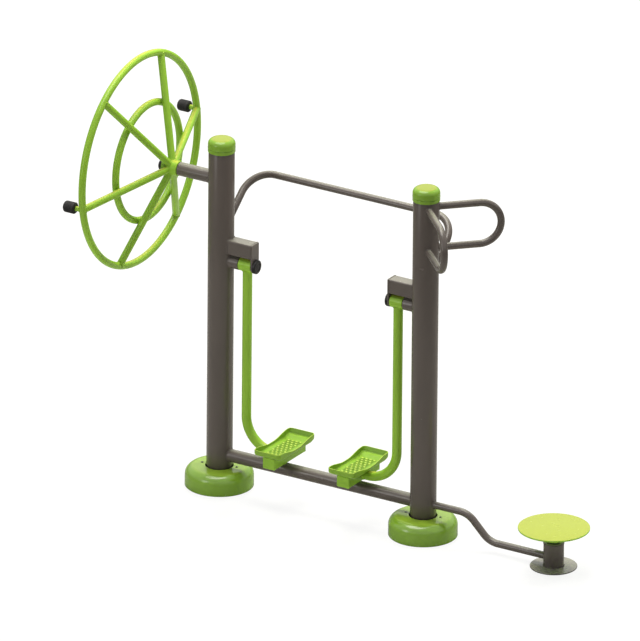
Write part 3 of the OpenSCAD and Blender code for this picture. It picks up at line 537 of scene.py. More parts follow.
def bead(loop, outward, size=bead_size):
    """Weld bead: a rope of 8 sides laid along a closed line where two pieces meet, with a ripple at
    every pitch: radius = size (1 + ripple cos(2 pi s / pitch)). outward gives the carrier's normals."""
    ripples = max(8, round(run_along(loop)[-1] / bead_pitch))
    line, s = sampled(loop, 4 * ripples + 1)
    ahead = np.roll(line[:-1], -1, 0) - np.roll(line[:-1], 1, 0)
    ahead = np.concatenate([ahead, ahead[:1]])
    ahead /= np.linalg.norm(ahead, axis=1)[:, None]
    normal = outward(line)
    normal = normal - (normal * ahead).sum(1)[:, None] * ahead
    normal /= np.linalg.norm(normal, axis=1)[:, None]
    width = size * (1 + bead_ripple * np.cos(math.tau * ripples * s / s[-1]))[:, None, None]
    turn = np.linspace(0, math.tau, 9)[None, :, None]
    across = np.cross(ahead, normal)[:, None]
    return line[:, None] + width * (np.cos(turn) * normal[:, None] + np.sin(turn) * across)


def from_axis(at, axis=(0, 0, 1)):
    """Normals of a round tube whose axis runs through at: each point less its foot on the axis."""
    at, axis = np.array(at, float), np.array(axis, float)
    return lambda p: (p - at) - ((p - at) @ axis)[:, None] * axis


def looking(*way):
    """Normals of a flat face that looks that way."""
    return lambda p: np.array(way, float) + 0 * p


def welded(name, node, path, radius, flat, start, end, count=56):
    """A brown tube that is coped to two others, and a bead round each of its ends."""
    tube = coped(path, radius, flat, start, end, count)
    standing(name, [stopped(tube)], node)
    for ring, other in ((tube[0], start), (tube[-1], end)):
        post_beads.append(bead(ring, from_axis(*other[:2])))


left_post_skin, right_post_skin = ((0, 0, 0), (0, 0, 1), post_r), ((span, 0, 0), (0, 0, 1), post_r)
low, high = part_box("lower_crossbar")
crossbar_z, crossbar_r = (low.z + high.z) / 2, (high.z - low.z) / 2
welded("crossbar_tube", "lower_crossbar", [(x, 0, crossbar_z) for x in (0, span / 2, span)], crossbar_r,
       (0, 0, 1), left_post_skin, right_post_skin, count=72)


# Handrail: one steel tube, Ø32, that rises from the backs of the posts and bends over into a level
# run for the hands. It is coped to the posts and welded on.
rail_reach, rail_r, rail_bend, rail_foot_z, tube_root = 0.256, 0.016, 0.115, 1.207, 0.030
rail_run_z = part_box("handrail")[1].z - rail_r
rail_tilt = math.atan2(rail_run_z - rail_foot_z, rail_reach - post_r)
rail_start_z = rail_run_z - rail_reach * math.tan(rail_tilt)
rail_way = np.array((0, math.cos(rail_tilt), math.sin(rail_tilt)))
rail_path = eased([(0, 0, rail_start_z) + tube_root * rail_way, (0, rail_reach, rail_run_z),
                   (span, rail_reach, rail_run_z), (span, 0, rail_start_z) + tube_root * rail_way],
                  [0, rail_bend, rail_bend, 0], steps=24)
rail_flat = np.cross(rail_way, (1, 0, 0))
welded("handrail_tube", "handrail", rail_path, rail_r, rail_flat, left_post_skin, right_post_skin)


# Grab loops: two U-bent steel tubes, Ø32, coped and welded to the right post, one slanting to the
# front and one to the back.
loop_r, loop_bend, loop_reach, loop_turn = 0.016, 0.095, 0.331, math.radians(45)
low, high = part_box("back_grab_loop")
rise_top, rise_low = np.array((0, 0, high.z - loop_r)), np.array((0, 0, low.z + loop_r))
for name, way in (("front", -1), ("back", 1)):
    out = np.array((math.cos(loop_turn), way * math.sin(loop_turn), 0))
    foot, tip = (np.array((span, 0, 0)) + reach * out for reach in (tube_root, loop_reach))
    corners = [foot + rise_top, tip + rise_top, tip + rise_low, foot + rise_low]
    path = eased(corners, [0, loop_bend, loop_bend, 0], steps=28)
    welded(name + "_loop_tube", name + "_grab_loop", path, loop_r, np.cross(out, (0, 0, 1)),
           right_post_skin, right_post_skin)


# Pivot brackets: a box-section arm welded to each post, closed by an end plate that reaches down
# to hold the axle's outer end; a round boss on the post holds its inner end.
def along(outline, places, insets, axes):
    """Bar of constant section: the closed outline (u, v), drawn in by insets along its own normals,
    at each of the places along the third axis. axes are the world directions of u, v and the bar."""
    edge = np.gradient(outline[:-1], axis=0)
    edge[0], edge[-1] = outline[1] - outline[-2], outline[0] - outline[-3]
    normal = np.stack([edge[:, 1], -edge[:, 0]], -1) / np.linalg.norm(edge, axis=1)[:, None]
    if ((outline[:-1] - outline[:-1].mean(0)) * normal).sum() < 0:
        normal = -normal
    normal = np.concatenate([normal, normal[:1]])
    u, v, w = (np.array(a, float) for a in axes)
    rows = [outline - inset * normal for inset in insets]
    return np.stack([row[:, :1] * u + row[:, 1:] * v + place * w for row, place in zip(rows, places)])


def for_side(side, grids):
    """The right side's pieces are the left side's, mirrored across the middle of the span."""
    return grids if side == "left" else [g * np.array((-1, 1, 1)) + np.array((span, 0, 0)) for g in grids]


arm_low, arm_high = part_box("left_bracket_arm")
plate_low, plate_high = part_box("left_bracket_plate")
boss_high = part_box("left_pivot_boss")[1]
arm_half, pivot_r, arm_round, plate_edge = arm_high.y, arm_high.y, 0.006, 0.0012
boss_edge, boss_bore, boss_end, boss_floor = 0.0015, 0.0135, boss_high.x, boss_high.x - 0.004
foot_round_share, long_side, side_parts, seam_bead = 0.999, 0.02, 8, 0.0018
pivot_at = (0, 0, plate_low.z + pivot_r)
sideways, to_post = ((0, 1, 0), (0, 0, 1), (1, 0, 0)), np.array((-1.0, 0, 0))
arm_outline = boxed((-arm_half, arm_half), (arm_low.z, arm_high.z), [arm_round] * 4, steps=6)
arm_sides = [np.linspace(a, b, side_parts if np.linalg.norm(a - b) > long_side else 1, endpoint=False)
             for a, b in zip(arm_outline, arm_outline[1:])]
arm_outline = np.concatenate(arm_sides + [arm_outline[-1:]])
arm = along(arm_outline, [post_r, arm_high.x], [0, 0], sideways)
arm[0] = onto_tube(arm[1], to_post, *left_post_skin)
foot_round = pivot_r * foot_round_share
plate_outline = boxed((-pivot_r, pivot_r), (plate_low.z, plate_high.z),
                      [foot_round, arm_round, arm_round, foot_round], steps=20)
plate_places = [plate_low.x, plate_low.x + plate_edge, plate_high.x - plate_edge, plate_high.x]
plate = along(plate_outline, plate_places, [plate_edge, 0, 0, plate_edge], sideways)
boss = turned([(pivot_r, post_r), (pivot_r, boss_end - boss_edge), (pivot_r - boss_edge, boss_end),
               (boss_bore, boss_end), (boss_bore, boss_floor), (0, boss_floor)], pivot_at, (1, 0, 0))
boss[0] = onto_tube(boss[1], to_post, *left_post_skin)
arm_seam = along(arm_outline, [arm_high.x, arm_high.x], [0, 0], sideways)[0]
bracket_beads = [bead(arm[0], from_axis((0, 0, 0))), bead(boss[0], from_axis((0, 0, 0))),
                 bead(arm_seam, looking(-1, 0, 0), seam_bead)]
bracket = {
    "arm_box": (stopped(arm), "bracket_arm"),
    "end_plate": (stopped(plate), "bracket_plate"),
    "boss_turning": (stopped(boss, far=False), "pivot_boss"),
}
for side in sides:
    for name, (grid, node) in bracket.items():
        standing(f"{side}_{name}", for_side(side, [grid]), f"{side}_{node}")
    post_beads += for_side(side, bracket_beads)


# Axles, nuts and bearings: turned and zinc-plated steel, out of sight inside the sleeves, the hub
# and the housing. They keep the meshes of the CAD.
coated(("left_pivot_axle", "right_pivot_axle", "axle_nuts", "wheel_spindle", "left_leg_bearings",
        "right_leg_bearings", "wheel_bearings", "twister_bearings"), zinc)


# Axle caps: black moulded plastic, pressed over the axle nuts outside the end plates. Each has a
# raised ring round a dished middle.
def rubbery(name, tone, rough):
    """Black plastic or rubber of one tone: dull, with a fine grain and pale scuffs on it."""
    finish, shader, t = new_finish(name)
    scuff = t.grain(70.0, 4.0).between(0.55, 0.80) * 0.35
    tint = scuff.blend(paint(tone), paint(tone, 2.2))
    rough = rough + t.grain(45.0, 2.0) * 0.15 + scuff * 0.2
    skin = t.grain(1400.0, 2.0).raised(0.25, 0.0003)
    fill(shader, {"Base Color": tint, "Roughness": rough, "Normal": skin, "Specular IOR Level": 0.3})
    return finish


black_plastic = rubbery("black_moulding", (0.010, 0.009, 0.009), 0.30)
black_rubber = rubbery("black_grip_rubber", (0.011, 0.010, 0.010), 0.50)
low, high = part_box("left_axle_cap")
axle_cap_r, axle_cap_l, axle_cap_fall = (high.z - low.z) / 2, 0.014, 0.0012
ring_share, dish_share, dish_depth, middle_share = 0.66, 0.52, 0.0022, 0.4
axle_cap_rounds = [0, 0.0006, 0.0035, 0.0012, 0.0030, 0]
axle_cap = eased(
    [(0, 0), (axle_cap_r, 0), (axle_cap_r, axle_cap_l - axle_cap_fall),
     (axle_cap_r * ring_share, axle_cap_l), (axle_cap_r * dish_share, axle_cap_l - dish_depth),
     (0, axle_cap_l - middle_share * dish_depth)], axle_cap_rounds)
axle_dome = turned(axle_cap, (plate_high.x, 0, pivot_at[2]), (1, 0, 0), count=72)
for side in sides:
    fix(surface(side + "_axle_dome", for_side(side, [axle_dome]), black_plastic, crease=40),
        "frame", "black_plastic", side + "_axle_cap")


# Swinging legs: a green sleeve turns on each axle and carries a bent tube, Ø42, down to the tray
# carrier, a box section with plates welded over its ends.
def swinging(name, grids, body, *stands_for, crease=35):
    """A green piece of a leg, the wheel or the twister."""
    fix(surface(name, grids, green_coat, crease), body, "green_paint", *stands_for)


def sleeve_of(bore, radius, start, end, edge):
    """Closed profile of a turned sleeve whose outer edges are broken."""
    return [(bore, start), (radius - edge, start), (radius, start + edge), (radius, end - edge),
            (radius - edge, end), (bore, end), (bore, start)]


sleeve_low, sleeve_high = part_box("left_leg_sleeve")
tube_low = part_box("left_leg_tube")[0]
carrier_low, carrier_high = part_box("left_tray_carrier")
ends_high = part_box("left_carrier_ends")[1]
sleeve_edge, sleeve_bore, leg_r, leg_bend, leg_root = 0.0012, 0.026, 0.021, 0.140, 0.010
carrier_round, end_wall, end_inset = 0.004, ends_high.y - carrier_high.y, 0.0008
end_inset_shares, end_seam, plate_bead = (1.5, 1, 1, 2), 0.0004, 0.0016
leg_x, leg_foot_z, tray_x = tube_low.x + leg_r, tube_low.z + leg_r, (carrier_low.x + carrier_high.x) / 2
endways = ((1, 0, 0), (0, 0, 1), (0, -1, 0))
sleeve = sleeve_of(sleeve_bore, pivot_r, sleeve_low.x, sleeve_high.x, sleeve_edge)
leg_path = [(leg_x, 0, pivot_at[2] - leg_root), (leg_x, 0, leg_foot_z), (carrier_low.x, 0, leg_foot_z)]
leg_path = eased(leg_path, [0, leg_bend, 0], steps=28)
leg = coped(leg_path, leg_r, (0, 1, 0), (pivot_at, (1, 0, 0), pivot_r), None)
carrier_outline = boxed((carrier_low.x, carrier_high.x), (carrier_low.z, carrier_high.z),
                        [carrier_round] * 4, steps=6)
carrier = along(carrier_outline, [-carrier_high.y, carrier_high.y], [0, 0], endways)
carrier_ends = [along(carrier_outline, [y, y + end_inset, y + end_wall - end_inset, y + end_wall],
                      [end_inset * share for share in end_inset_shares], endways)
                for y in (-ends_high.y, carrier_high.y)]
leg_beads = [bead(leg[0], from_axis(pivot_at, (1, 0, 0))), bead(leg[-1], looking(-1, 0, 0))]
leg_beads += [bead(along(carrier_outline, [y, y], [end_seam] * 2, endways)[0], looking(0, -1, 0), plate_bead)
              for y in (-carrier_high.y, carrier_high.y)]
leg_pieces = {
    "sleeve_turning": ([turned(sleeve, pivot_at, (1, 0, 0))], "leg_sleeve"),
    "bent_leg": ([stopped(leg)], "leg_tube"),
    "carrier_box": ([stopped(carrier)], "tray_carrier"),
    "carrier_plates": ([stopped(g) for g in carrier_ends], "carrier_ends"),
}
for side in sides:
    for name, (grids, node) in leg_pieces.items():
        swinging(f"{side}_{name}", for_side(side, grids), side + "_leg", f"{side}_{node}")
    swinging(side + "_leg_welds", for_side(side, leg_beads), side + "_leg", crease=60)


# Foot trays: green aluminium castings bolted on the carriers, boat-shaped, with a rounded lip that
# rises to both ends and a floor of staggered grip studs with dimples between them.
tray_low, tray_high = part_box("left_foot_tray")
half_w, half_l = (tray_high.x - tray_low.x) / 2, (tray_high.y - tray_low.y) / 2
tray_z, tray_corner, tray_wall, tray_floor = tray_low.z, 0.018, 0.004, 0.005
tray_mid_h, tray_end_h, tray_lift, floor_fillet = 0.018, tray_high.z - tray_low.z, 0.009, 0.006
tray_draft, tray_draft_h, end_slope, wall_slope, wall_shares = 0.012, 0.013, 0.075, 0.75, (0.33, 0.66)
stud_step, stud_row_step, stud_rows, stud_h = 0.010, 0.021, 9, 0.0034
stud_foot_r, stud_top_r, dimple_r, dimple_depth, dimple_flat = 0.0062, 0.0040, 0.0034, 0.0022, 1.35
stud_columns, dimple_columns = 3, 4  # to each side of the middle
floor_rise, foot_rise, lip_rise = (0.62, 0.30), (0.78, 0.22), (0.10, 0.75)  # start and run, as shares


def smooth(x):
    """0 below 0, 1 above 1, x x (3 - 2 x) between."""
    x = np.clip(x, 0, 1)
    return x * x * (3 - 2 * x)


def plan(margin, columns=72, straights=176, corners=9):
    """The tray seen from above, drawn in by a margin, as a grid: each row is as wide as the rounded
    rectangle is there, so the grid's border is the outline itself."""
    r = tray_corner - margin
    turn = np.linspace(0, math.pi / 2, corners)
    y_end, w_end = half_l - tray_corner + r * np.sin(turn), half_w - tray_corner + r * np.cos(turn)
    y_mid = (half_l - tray_corner) * np.linspace(-1, 1, straights)[1:-1]
    y = np.concatenate([-y_end[::-1], y_mid, y_end])
    w = np.concatenate([w_end[::-1], 0 * y_mid + half_w - margin, w_end])
    x = w[:, None] * np.linspace(-1, 1, columns)
    return x, y[:, None] + 0 * x


def border(grid):
    """The closed border line of a grid's values."""
    return np.concatenate([grid[:, -1], grid[-1, ::-1][1:], grid[::-1, 0][1:], grid[0, 1:]])


def squeezed(y, share):
    """The ends drawn in, more the further out they are: y (1 - share |y / half length| cubed)."""
    return y * (1 - share * np.abs(y / half_l) ** 3)


def tread(x, y):
    """Height of the studs less the dimples: a checkerboard of round bumps whose squares alternate."""
    column, row = np.round(x / stud_step), np.round(y / stud_row_step)
    away = np.hypot(x - column * stud_step, y - row * stud_row_step)
    odd = (column + row) % 2 == 1
    inside = np.abs(column) <= np.where(odd, stud_columns, dimple_columns)
    inside &= np.abs(row) <= (stud_rows - 1) / 2
    stud = stud_h * smooth((stud_foot_r - away) / (stud_foot_r - stud_top_r))
    dimple = -dimple_depth * smooth(dimple_flat * (dimple_r - away) / dimple_r)
    return np.where(inside, np.where(odd, stud, dimple), 0)


def lip_z(reach):
    """Height of the lip: lowest beside the floor's middle, with a smooth rise to each end."""
    return tray_z + tray_mid_h + (tray_end_h - tray_mid_h) * smooth((reach - lip_rise[0]) / lip_rise[1])


def tray_grids():
    """Floor, walls and underside. The walls are rings round the outline, each with a margin, a height
    and a share by which its ends are drawn in, from the floor's fillet over the lip to the draft below."""
    x, y = plan(0)
    reach = np.abs(y) / half_l
    floor_z = tray_z + tray_floor + tray_lift * smooth((reach - floor_rise[0]) / floor_rise[1])
    low_z = tray_z + tray_lift * np.clip((reach - foot_rise[0]) / foot_rise[1], 0, 1)
    x, y = plan(tray_wall + floor_fillet)
    y = squeezed(y, end_slope)
    floor_grid = np.stack([x, y, floor_z + tread(x, y)], -1)
    x, y = plan(tray_draft)
    under_grid = np.stack([x, y, low_z], -1)
    reach, floor_z, low_z = border(reach), border(floor_z), border(low_z)
    rim_z, lip = lip_z(reach), tray_wall / 2
    rings = [(tray_wall + floor_fillet * (1 - math.sin(a)), floor_z + floor_fillet * (1 - math.cos(a)),
              end_slope * (1 - (1 - wall_slope) * math.sin(a))) for a in np.linspace(0, math.pi / 2, 7)]
    rings += [(tray_wall, floor_z + floor_fillet + share * (rim_z - lip - floor_z - floor_fillet),
               end_slope * wall_slope * (1 - share)) for share in wall_shares]
    rings += [(lip + lip * math.cos(b), rim_z - lip + lip * math.sin(b), 0)
              for b in np.linspace(0, math.pi, 9)]
    rings += [(0, 0.5 * (rim_z - lip + low_z + tray_draft_h), 0)]
    rings += [(tray_draft * (1 - math.cos(c)), low_z + tray_draft_h * (1 - math.sin(c)), 0)
              for c in np.linspace(0, math.pi / 2, 9)]
    walls = []
    for margin, z, share in rings:
        x, y = map(border, plan(margin))
        walls.append(np.stack([x, squeezed(y, share), z], -1))
    return [g + np.array((tray_x, 0, 0)) for g in (floor_grid, np.stack(walls), under_grid)]


def casting(name, tone, worn_lit_tone):
    """Powder coat over a sand casting: a coarser skin, paler where shoes rub it and as a painted
    highlight, and darker in the low places as painted shade, which attributes of the mesh say."""
    finish, shader, t = new_finish(name)
    wear_and_highlight, recess_shade_mark = (t.node("Attribute", {"attribute_name": mark}, output="Fac") for mark in ("wear_and_highlight", "recess_shade"))
    # Partly rubbed by shoes, partly a painted highlight: stud tops and the lip's top go paler.
    worn_and_lit = wear_and_highlight * t.grain(300.0, 3.0).between(0.10, 0.45)
    # Painted shade: the low places between the studs are darkened, as if shaded.
    recess_shade = recess_shade_mark * t.grain(160.0, 3.0).between(0.10, 0.50)
    tint = t.grain(14.0, 3.0).between(0.25, 0.75).blend(paint(tone, 0.94), paint(tone, 1.06))
    tint = (worn_and_lit * 0.9).blend(tint, paint(worn_lit_tone))
    tint = (recess_shade * 0.8).blend(tint, paint(tone, 0.26))
    rough = 0.34 + t.grain(60.0, 3.0) * 0.12 + recess_shade * 0.3 - worn_and_lit * 0.08
    skin = t.grain(700.0, 3.0).raised(0.22, 0.0006)
    fill(shader, {"Base Color": tint, "Roughness": rough, "Normal": skin, "Specular IOR Level": 0.3})
    return finish


# The second tone is the paler one of rubbed places and painted highlights.
green_casting = casting("green_casting", (0.180, 0.332, 0.023), (0.43, 0.56, 0.08))
# The lip's top band is paler, partly rubbed by shoes and partly a painted highlight.
floor_from, floor_to, lip_band, lip_wear_and_highlight = 0.002, tray_floor + 0.012, 0.0012, 0.7
# The stud field's painted shade: where it fades out, how dark flat floor gets, how fast studs rise out of
# it.
field_half_w, field_fade_w, field_fade_l, flat_shade, shade_fade_share = 0.040, 0.008, 0.010, 0.62, 1.6
for side in sides:
    tray = fix(surface(side + "_tray_casting", for_side(side, tray_grids()), green_casting, crease=50),
               side + "_leg", "green_tray", side + "_foot_tray")
    place = np.empty(3 * len(tray.data.vertices))
    tray.data.vertices.foreach_get("co", place)
    x, y, z = place.reshape(-1, 3).T
    x = x - tray_x if side == "left" else span - tray_x - x
    on_floor = z < tray_z + floor_to
    on_tread = (np.abs(x) < half_w - tray_wall) & on_floor & (z > tray_z + floor_from)
    tread_z = np.where(on_tread, tread(x, y), 0)
    on_lip = np.where(z > lip_z(np.abs(y) / half_l) - lip_band, lip_wear_and_highlight, 0)
    # Painted shade between the studs and in the dimples, fading out at the field's edges and up the studs.
    field = smooth((0.5 * stud_rows * stud_row_step - np.abs(y)) / field_fade_l)
    field = np.where(on_floor, field * smooth((field_half_w - np.abs(x)) / field_fade_w), 0)
    recess_shade = field * (1 - smooth(shade_fade_share * tread_z / stud_h)) * np.where(tread_z < 0, 1, flat_shade)
    # Stud tops and the top of the lip are paler, partly rubbed by shoes and partly a painted highlight.
    for name, values in (("wear_and_highlight", np.maximum(smooth(tread_z / stud_h), on_lip)), ("recess_shade", recess_shade)):
        mark = tray.data.attributes.new(name, "FLOAT", "POINT")
        mark.data.foreach_set("value", values.astype(np.float32))

# Tray bolts: round-headed, with a shallow well in the head, one near each end of a tray. They were
# painted with the castings that they hold.
bolt_low, bolt_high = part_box("left_tray_bolts")
bolt_r, bolt_shank_r, bolt_edge, bolt_dome = (bolt_high.x - bolt_low.x) / 2, 0.003, 0.0003, 0.0022
bolt_head_h, well_top_r, well_foot_r, well_floor = 0.003, 0.0026, 0.0022, 0.001
bolt_z = bolt_high.z - bolt_head_h
bolt_profile = eased([(0, bolt_low.z), (bolt_shank_r, bolt_low.z), (bolt_shank_r, bolt_z), (bolt_r, bolt_z),
                      (bolt_r, bolt_high.z), (well_top_r, bolt_high.z), (well_foot_r, bolt_z + well_floor),
                      (0, bolt_z + well_floor)],
                     [0, 0, 0, bolt_edge, bolt_dome, bolt_edge, 0, 0], steps=5)
bolts = [turned(bolt_profile, (tray_x, way * (bolt_high.y - bolt_r), 0), count=40) for way in (-1, 1)]
for side in sides:
    fix(surface(side + "_bolts", for_side(side, bolts), green_casting), side + "_leg", "green_paint",
        side + "_tray_bolts")


# Arm wheel: a rim and a smaller ring of bent tube, Ø32, on six spokes that lean out from the hub.
# It turns on a spindle at the end of a brown tube from the left post.
rim_low, rim_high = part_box("wheel_rim")
ring_low, ring_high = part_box("wheel_inner_ring")
hub_low, hub_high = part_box("wheel_hub")
wheel_z, rim_x = (rim_low.z + rim_high.z) / 2, (rim_low.x + rim_high.x) / 2
hoop_r, ring_x = (rim_high.x - rim_low.x) / 2, (ring_low.x + ring_high.x) / 2
rim_r, ring_r, hub_r = rim_high.z - wheel_z - hoop_r, ring_high.z - wheel_z - hoop_r, hub_high.z - wheel_z
spoke_count, spoke_turn, spoke_root, ring_weld_r, wheel_bead = 6, math.radians(9.5), 0.035, 0.0062, 0.0022
arm_tube_r, arm_tube_wall, arm_tube_edge, arm_tube_floor = 0.030, 0.004, 0.001, 0.150
hub_bore, hub_edge = 0.02605, 0.0015
spoke_x, arm_tube_end = hub_high.x - spoke_root, -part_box("wheel_arm_tube")[0].x
wheel_at, outwards, inwards = (0, 0, wheel_z), (-1, 0, 0), np.array((1.0, 0, 0))


def hoop(x, radius):
    """Ring of bent tube: a circle turned round the wheel's axis."""
    turn = np.linspace(0, math.tau, 33)
    circle = np.stack([radius + hoop_r * np.cos(turn), hoop_r * np.sin(turn)], -1)
    return turned(circle, (x, 0, wheel_z), (1, 0, 0), count=288)


def spun(turn):
    """Directions out from the wheel's axis and along its rim, at a turn from level."""
    return np.array((0, math.cos(turn), math.sin(turn))), np.array((0, -math.sin(turn), math.cos(turn)))


swinging("rim_hoop", [hoop(rim_x, rim_r)], "wheel", "wheel_rim")
swinging("ring_hoop", [hoop(ring_x, ring_r)], "wheel", "wheel_inner_ring")
spokes, wheel_beads = [], []
lean = math.atan2(spoke_x - rim_x, rim_r)
root = np.array((spoke_x, 0, wheel_z))
for k in range(spoke_count):
    radial, tangent = spun(spoke_turn + k * math.tau / spoke_count)
    tip = np.array((rim_x, 0, wheel_z)) + rim_r * radial
    spoke = coped([root, tip], hoop_r, tangent, (root, (1, 0, 0), hub_r), (tip, tangent, hoop_r), count=40)
    spokes.append(stopped(spoke))
    way = (tip - root) / np.linalg.norm(tip - root)
    side_way = np.cross(tangent, way)
    side_way = side_way * -np.sign(side_way[0])
    touch = root + way * (ring_r / math.cos(lean)) + side_way * hoop_r
    turn = np.linspace(0, math.tau, 40)[:, None]
    ring_weld = touch + ring_weld_r * (np.cos(turn) * way + np.sin(turn) * tangent)
    wheel_beads += [bead(spoke[0], from_axis(root, (1, 0, 0)), wheel_bead),
                    bead(spoke[-1], from_axis(tip, tangent), wheel_bead),
                    bead(ring_weld, looking(*side_way), wheel_bead)]
swinging("spoke_tubes", spokes, "wheel", "wheel_spokes")
hub = turned(sleeve_of(hub_bore, hub_r, -hub_high.x, -hub_low.x, hub_edge), wheel_at, outwards)
swinging("hub_turning", [hub], "wheel", "wheel_hub")
arm_tube_bore = arm_tube_r - arm_tube_wall
arm_tube = turned([(arm_tube_r, post_r), (arm_tube_r, arm_tube_end - arm_tube_edge),
                   (arm_tube_r - arm_tube_edge, arm_tube_end), (arm_tube_bore, arm_tube_end),
                   (arm_tube_bore, arm_tube_floor), (0, arm_tube_floor)], wheel_at, outwards)
arm_tube[0] = onto_tube(arm_tube[1], inwards, *left_post_skin)
standing("wheel_arm", [stopped(arm_tube, far=False)], "wheel_arm_tube")
post_beads.append(bead(arm_tube[0], from_axis((0, 0, 0))))

# Hub cap: a black plastic moulding pressed over the hub's outer end, which hides the spindle's nut.
# Its face has a round pit in the middle.
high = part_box("wheel_hub_cap")[1]
hub_cap_r, hub_cap_l, hub_cap_rounds = high.z - wheel_z, 0.020, [0, 0.0006, 0.008, 0.0005, 0.0005, 0]
face_share, pit_share, pit_depth, pit_middle = 0.45, 0.40, 0.001, 0.0006
hub_cap = eased([(0, 0), (hub_cap_r, 0), (hub_cap_r, hub_cap_l), (face_share * hub_cap_r, hub_cap_l),
                 (pit_share * hub_cap_r, hub_cap_l - pit_depth), (0, hub_cap_l - pit_middle)],
                hub_cap_rounds, steps=10)
hub_dome = turned(hub_cap, (hub_low.x, 0, wheel_z), outwards, count=80)
fix(surface("hub_dome", [hub_dome], black_plastic, crease=40), "wheel", "black_plastic", "wheel_hub_cap")

# Grips: two black rubber knobs with three grooves round them. Each turns on the pin of a green
# steel stub that is welded to the rim.
stub_r, stub_reach, stub_from, stub_edge = 0.011, 0.034, 0.010, 0.001
pin_r, pin_end, pin_edge, pin_gap = 0.006, rim_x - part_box("grip_stubs")[0].x, 0.0005, 0.00005
grip_bore_end, grip_lead, grip_dish = 0.008, 0.005, 0.0004
groove_shares, groove_cut, stub_bead = (0.30, 0.45, 0.60), 0.0011, 0.0020
top_share, foot_share = 0.025, 0.012
groove_points = (0, -top_share), (groove_cut, -foot_share), (groove_cut, foot_share), (0, top_share)
grip_rounds = [0, 0, 0, 0.0010, 0.0015] + [0.0004] * 12 + [0.010, 0]
stub_profile = [(0, stub_from), (stub_r, stub_from), (stub_r, stub_reach - stub_edge),
                (stub_r - stub_edge, stub_reach), (pin_r, stub_reach), (pin_r, pin_end - pin_edge),
                (pin_r - pin_edge, pin_end), (0, pin_end)]
stubs = []
for node in ("front_grip", "back_grip"):
    low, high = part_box(node)
    grip_r, grip_l, bore_r = (high.z - low.z) / 2, high.x - low.x, pin_r + pin_gap
    y, z = (low.y + high.y) / 2, (low.z + high.z) / 2
    grooves = [(grip_r - depth, grip_l * (share + off)) for share in groove_shares
               for depth, off in groove_points]
    grip_profile = [(0, grip_l - grip_bore_end), (bore_r, grip_l - grip_bore_end), (bore_r, 0),
                    (grip_r - grip_lead, 0), (grip_r, grip_lead)]
    grip_profile += grooves + [(grip_r, grip_l), (0, grip_l - grip_dish)]
    knob = turned(eased(grip_profile, grip_rounds, steps=6), (high.x, y, z), outwards, count=72)
    fix(surface(node + "_knob", [knob], black_rubber, crease=40), node, "black_plastic", node)
    stubs.append(turned(stub_profile, (rim_x, y, z), outwards, count=48))
    tangent = spun(math.atan2(z - wheel_z, y))[1]
    foot = onto_tube(stubs[-1][2], inwards, (rim_x, y, z), tangent, hoop_r)
    wheel_beads.append(bead(foot, from_axis((rim_x, y, z), tangent), stub_bead))
swinging("stub_turnings", stubs, "wheel", "grip_stubs")
swinging("wheel_welds", wheel_beads, "wheel", crease=60)


# Waist twister: a green steel disc to stand on turns in a bearing housing on a short brown pillar,
# which stands on a round plate and is tied to the right post by a bent tube, Ø32.
pillar_low, pillar_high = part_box("twister_pillar")
low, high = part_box("twister_link_tube")
twister_x, pillar_r = (pillar_low.x + pillar_high.x) / 2, (pillar_high.x - pillar_low.x) / 2
pillar_wall, link_r, link_bend, link_corner = 0.004, 0.016, 0.100, 0.226
link_high_z, link_low_z = high.z - link_r, low.z + link_r
link_fall_x = span + link_corner + link_high_z - link_low_z
link_path = eased([(span + tube_root, 0, link_high_z), (span + link_corner, 0, link_high_z),
                   (link_fall_x, 0, link_low_z), (twister_x, 0, link_low_z)],
                  [0, link_bend, link_bend, 0], steps=20)
twister_at = (twister_x, 0, 0)
welded("link_tube", "twister_link_tube", link_path, link_r, (0, 1, 0), right_post_skin,
       (twister_at, (0, 0, 1), pillar_r))


def ring(radius, z):
    """Circle round the twister's axis."""
    turn = np.linspace(0, math.tau, 97)[:, None]
    circle = np.concatenate([np.cos(turn), np.sin(turn), 0 * turn], 1)
    return np.array((twister_x, 0, z)) + radius * circle


base_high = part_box("twister_base_plate")[1]
base_r, base_t, base_edge = base_high.x - twister_x, base_high.z, 0.0012
base_profile = [(0, 0), (base_r - base_edge / 2, 0), (base_r, base_edge / 2), (base_r, base_t - base_edge),
                (base_r - base_edge, base_t), (0, base_t)]
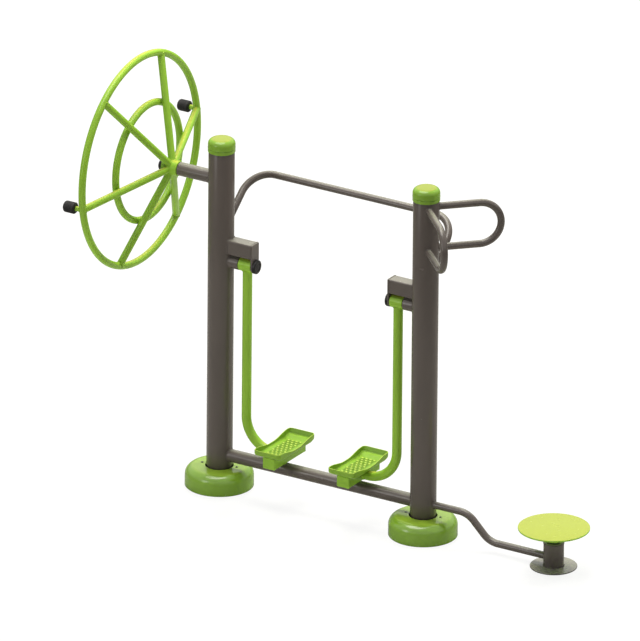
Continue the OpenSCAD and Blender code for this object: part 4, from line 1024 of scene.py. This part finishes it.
# The second tone is painted light: the paler colour of the plate's top, as if lit from above.
plate_coat = coat("brown_plate_coat", brown, (0.330, 0.320, 0.270), 0.9, 0.04)
standing("base_turning", [turned(base_profile, twister_at, count=160)], "twister_base_plate",
         finish=plate_coat)
pillar = boxed((pillar_r - pillar_wall, pillar_r), (base_t, pillar_high.z), [0] * 4)
standing("pillar_tube", [turned(pillar, twister_at, count=128)], "twister_pillar")
spindle_low, spindle_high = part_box("twister_spindle")
axle_r, thread_r, head_t, thread_l, spindle_edge, head_bead = 0.0125, 0.008, 0.006, 0.0095, 0.001, 0.0014
head_z, thread_z = spindle_low.z + head_t, spindle_high.z - thread_l
head = [(0, spindle_low.z), (pillar_r, spindle_low.z), (pillar_r, head_z - spindle_edge),
        (pillar_r - spindle_edge, head_z), (axle_r, head_z), (axle_r, thread_z), (thread_r, thread_z),
        (thread_r, spindle_high.z - spindle_edge), (thread_r - spindle_edge, spindle_high.z),
        (0, spindle_high.z)]
standing("head_plate_turning", [turned(head, twister_at, count=128)], "twister_spindle")
post_beads += [bead(ring(pillar_r, base_t), looking(0, 0, 1)),
               bead(ring(pillar_r, pillar_high.z), looking(0, 0, 1), head_bead)]
standing("frame_welds", post_beads, crease=60)

disc_low, disc_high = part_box("twister_disc")
disc_r, disc_edge = disc_high.x - twister_x, 0.002
disc_profile = eased([(0, disc_low.z), (disc_r, disc_low.z), (disc_r, disc_high.z), (0, disc_high.z)],
                     [0, disc_edge, disc_edge, 0], steps=6)
swinging("disc_turning", [turned(disc_profile, twister_at, count=192)], "twister", "twister_disc")
low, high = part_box("twister_housing")
housing_r = (high.x - low.x) / 2
housing = [(sleeve_bore, low.z), (housing_r - sleeve_edge, low.z), (housing_r, low.z + sleeve_edge),
           (housing_r, high.z), (sleeve_bore, high.z), (sleeve_bore, low.z)]
swinging("housing_turning", [turned(housing, twister_at)], "twister", "twister_housing")
swinging("disc_weld", [bead(ring(housing_r, high.z), looking(0, 0, -1))], "twister", crease=60)

size = {"cad": [list(c) for c in cad_box], "visual": [list(c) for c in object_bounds()]}
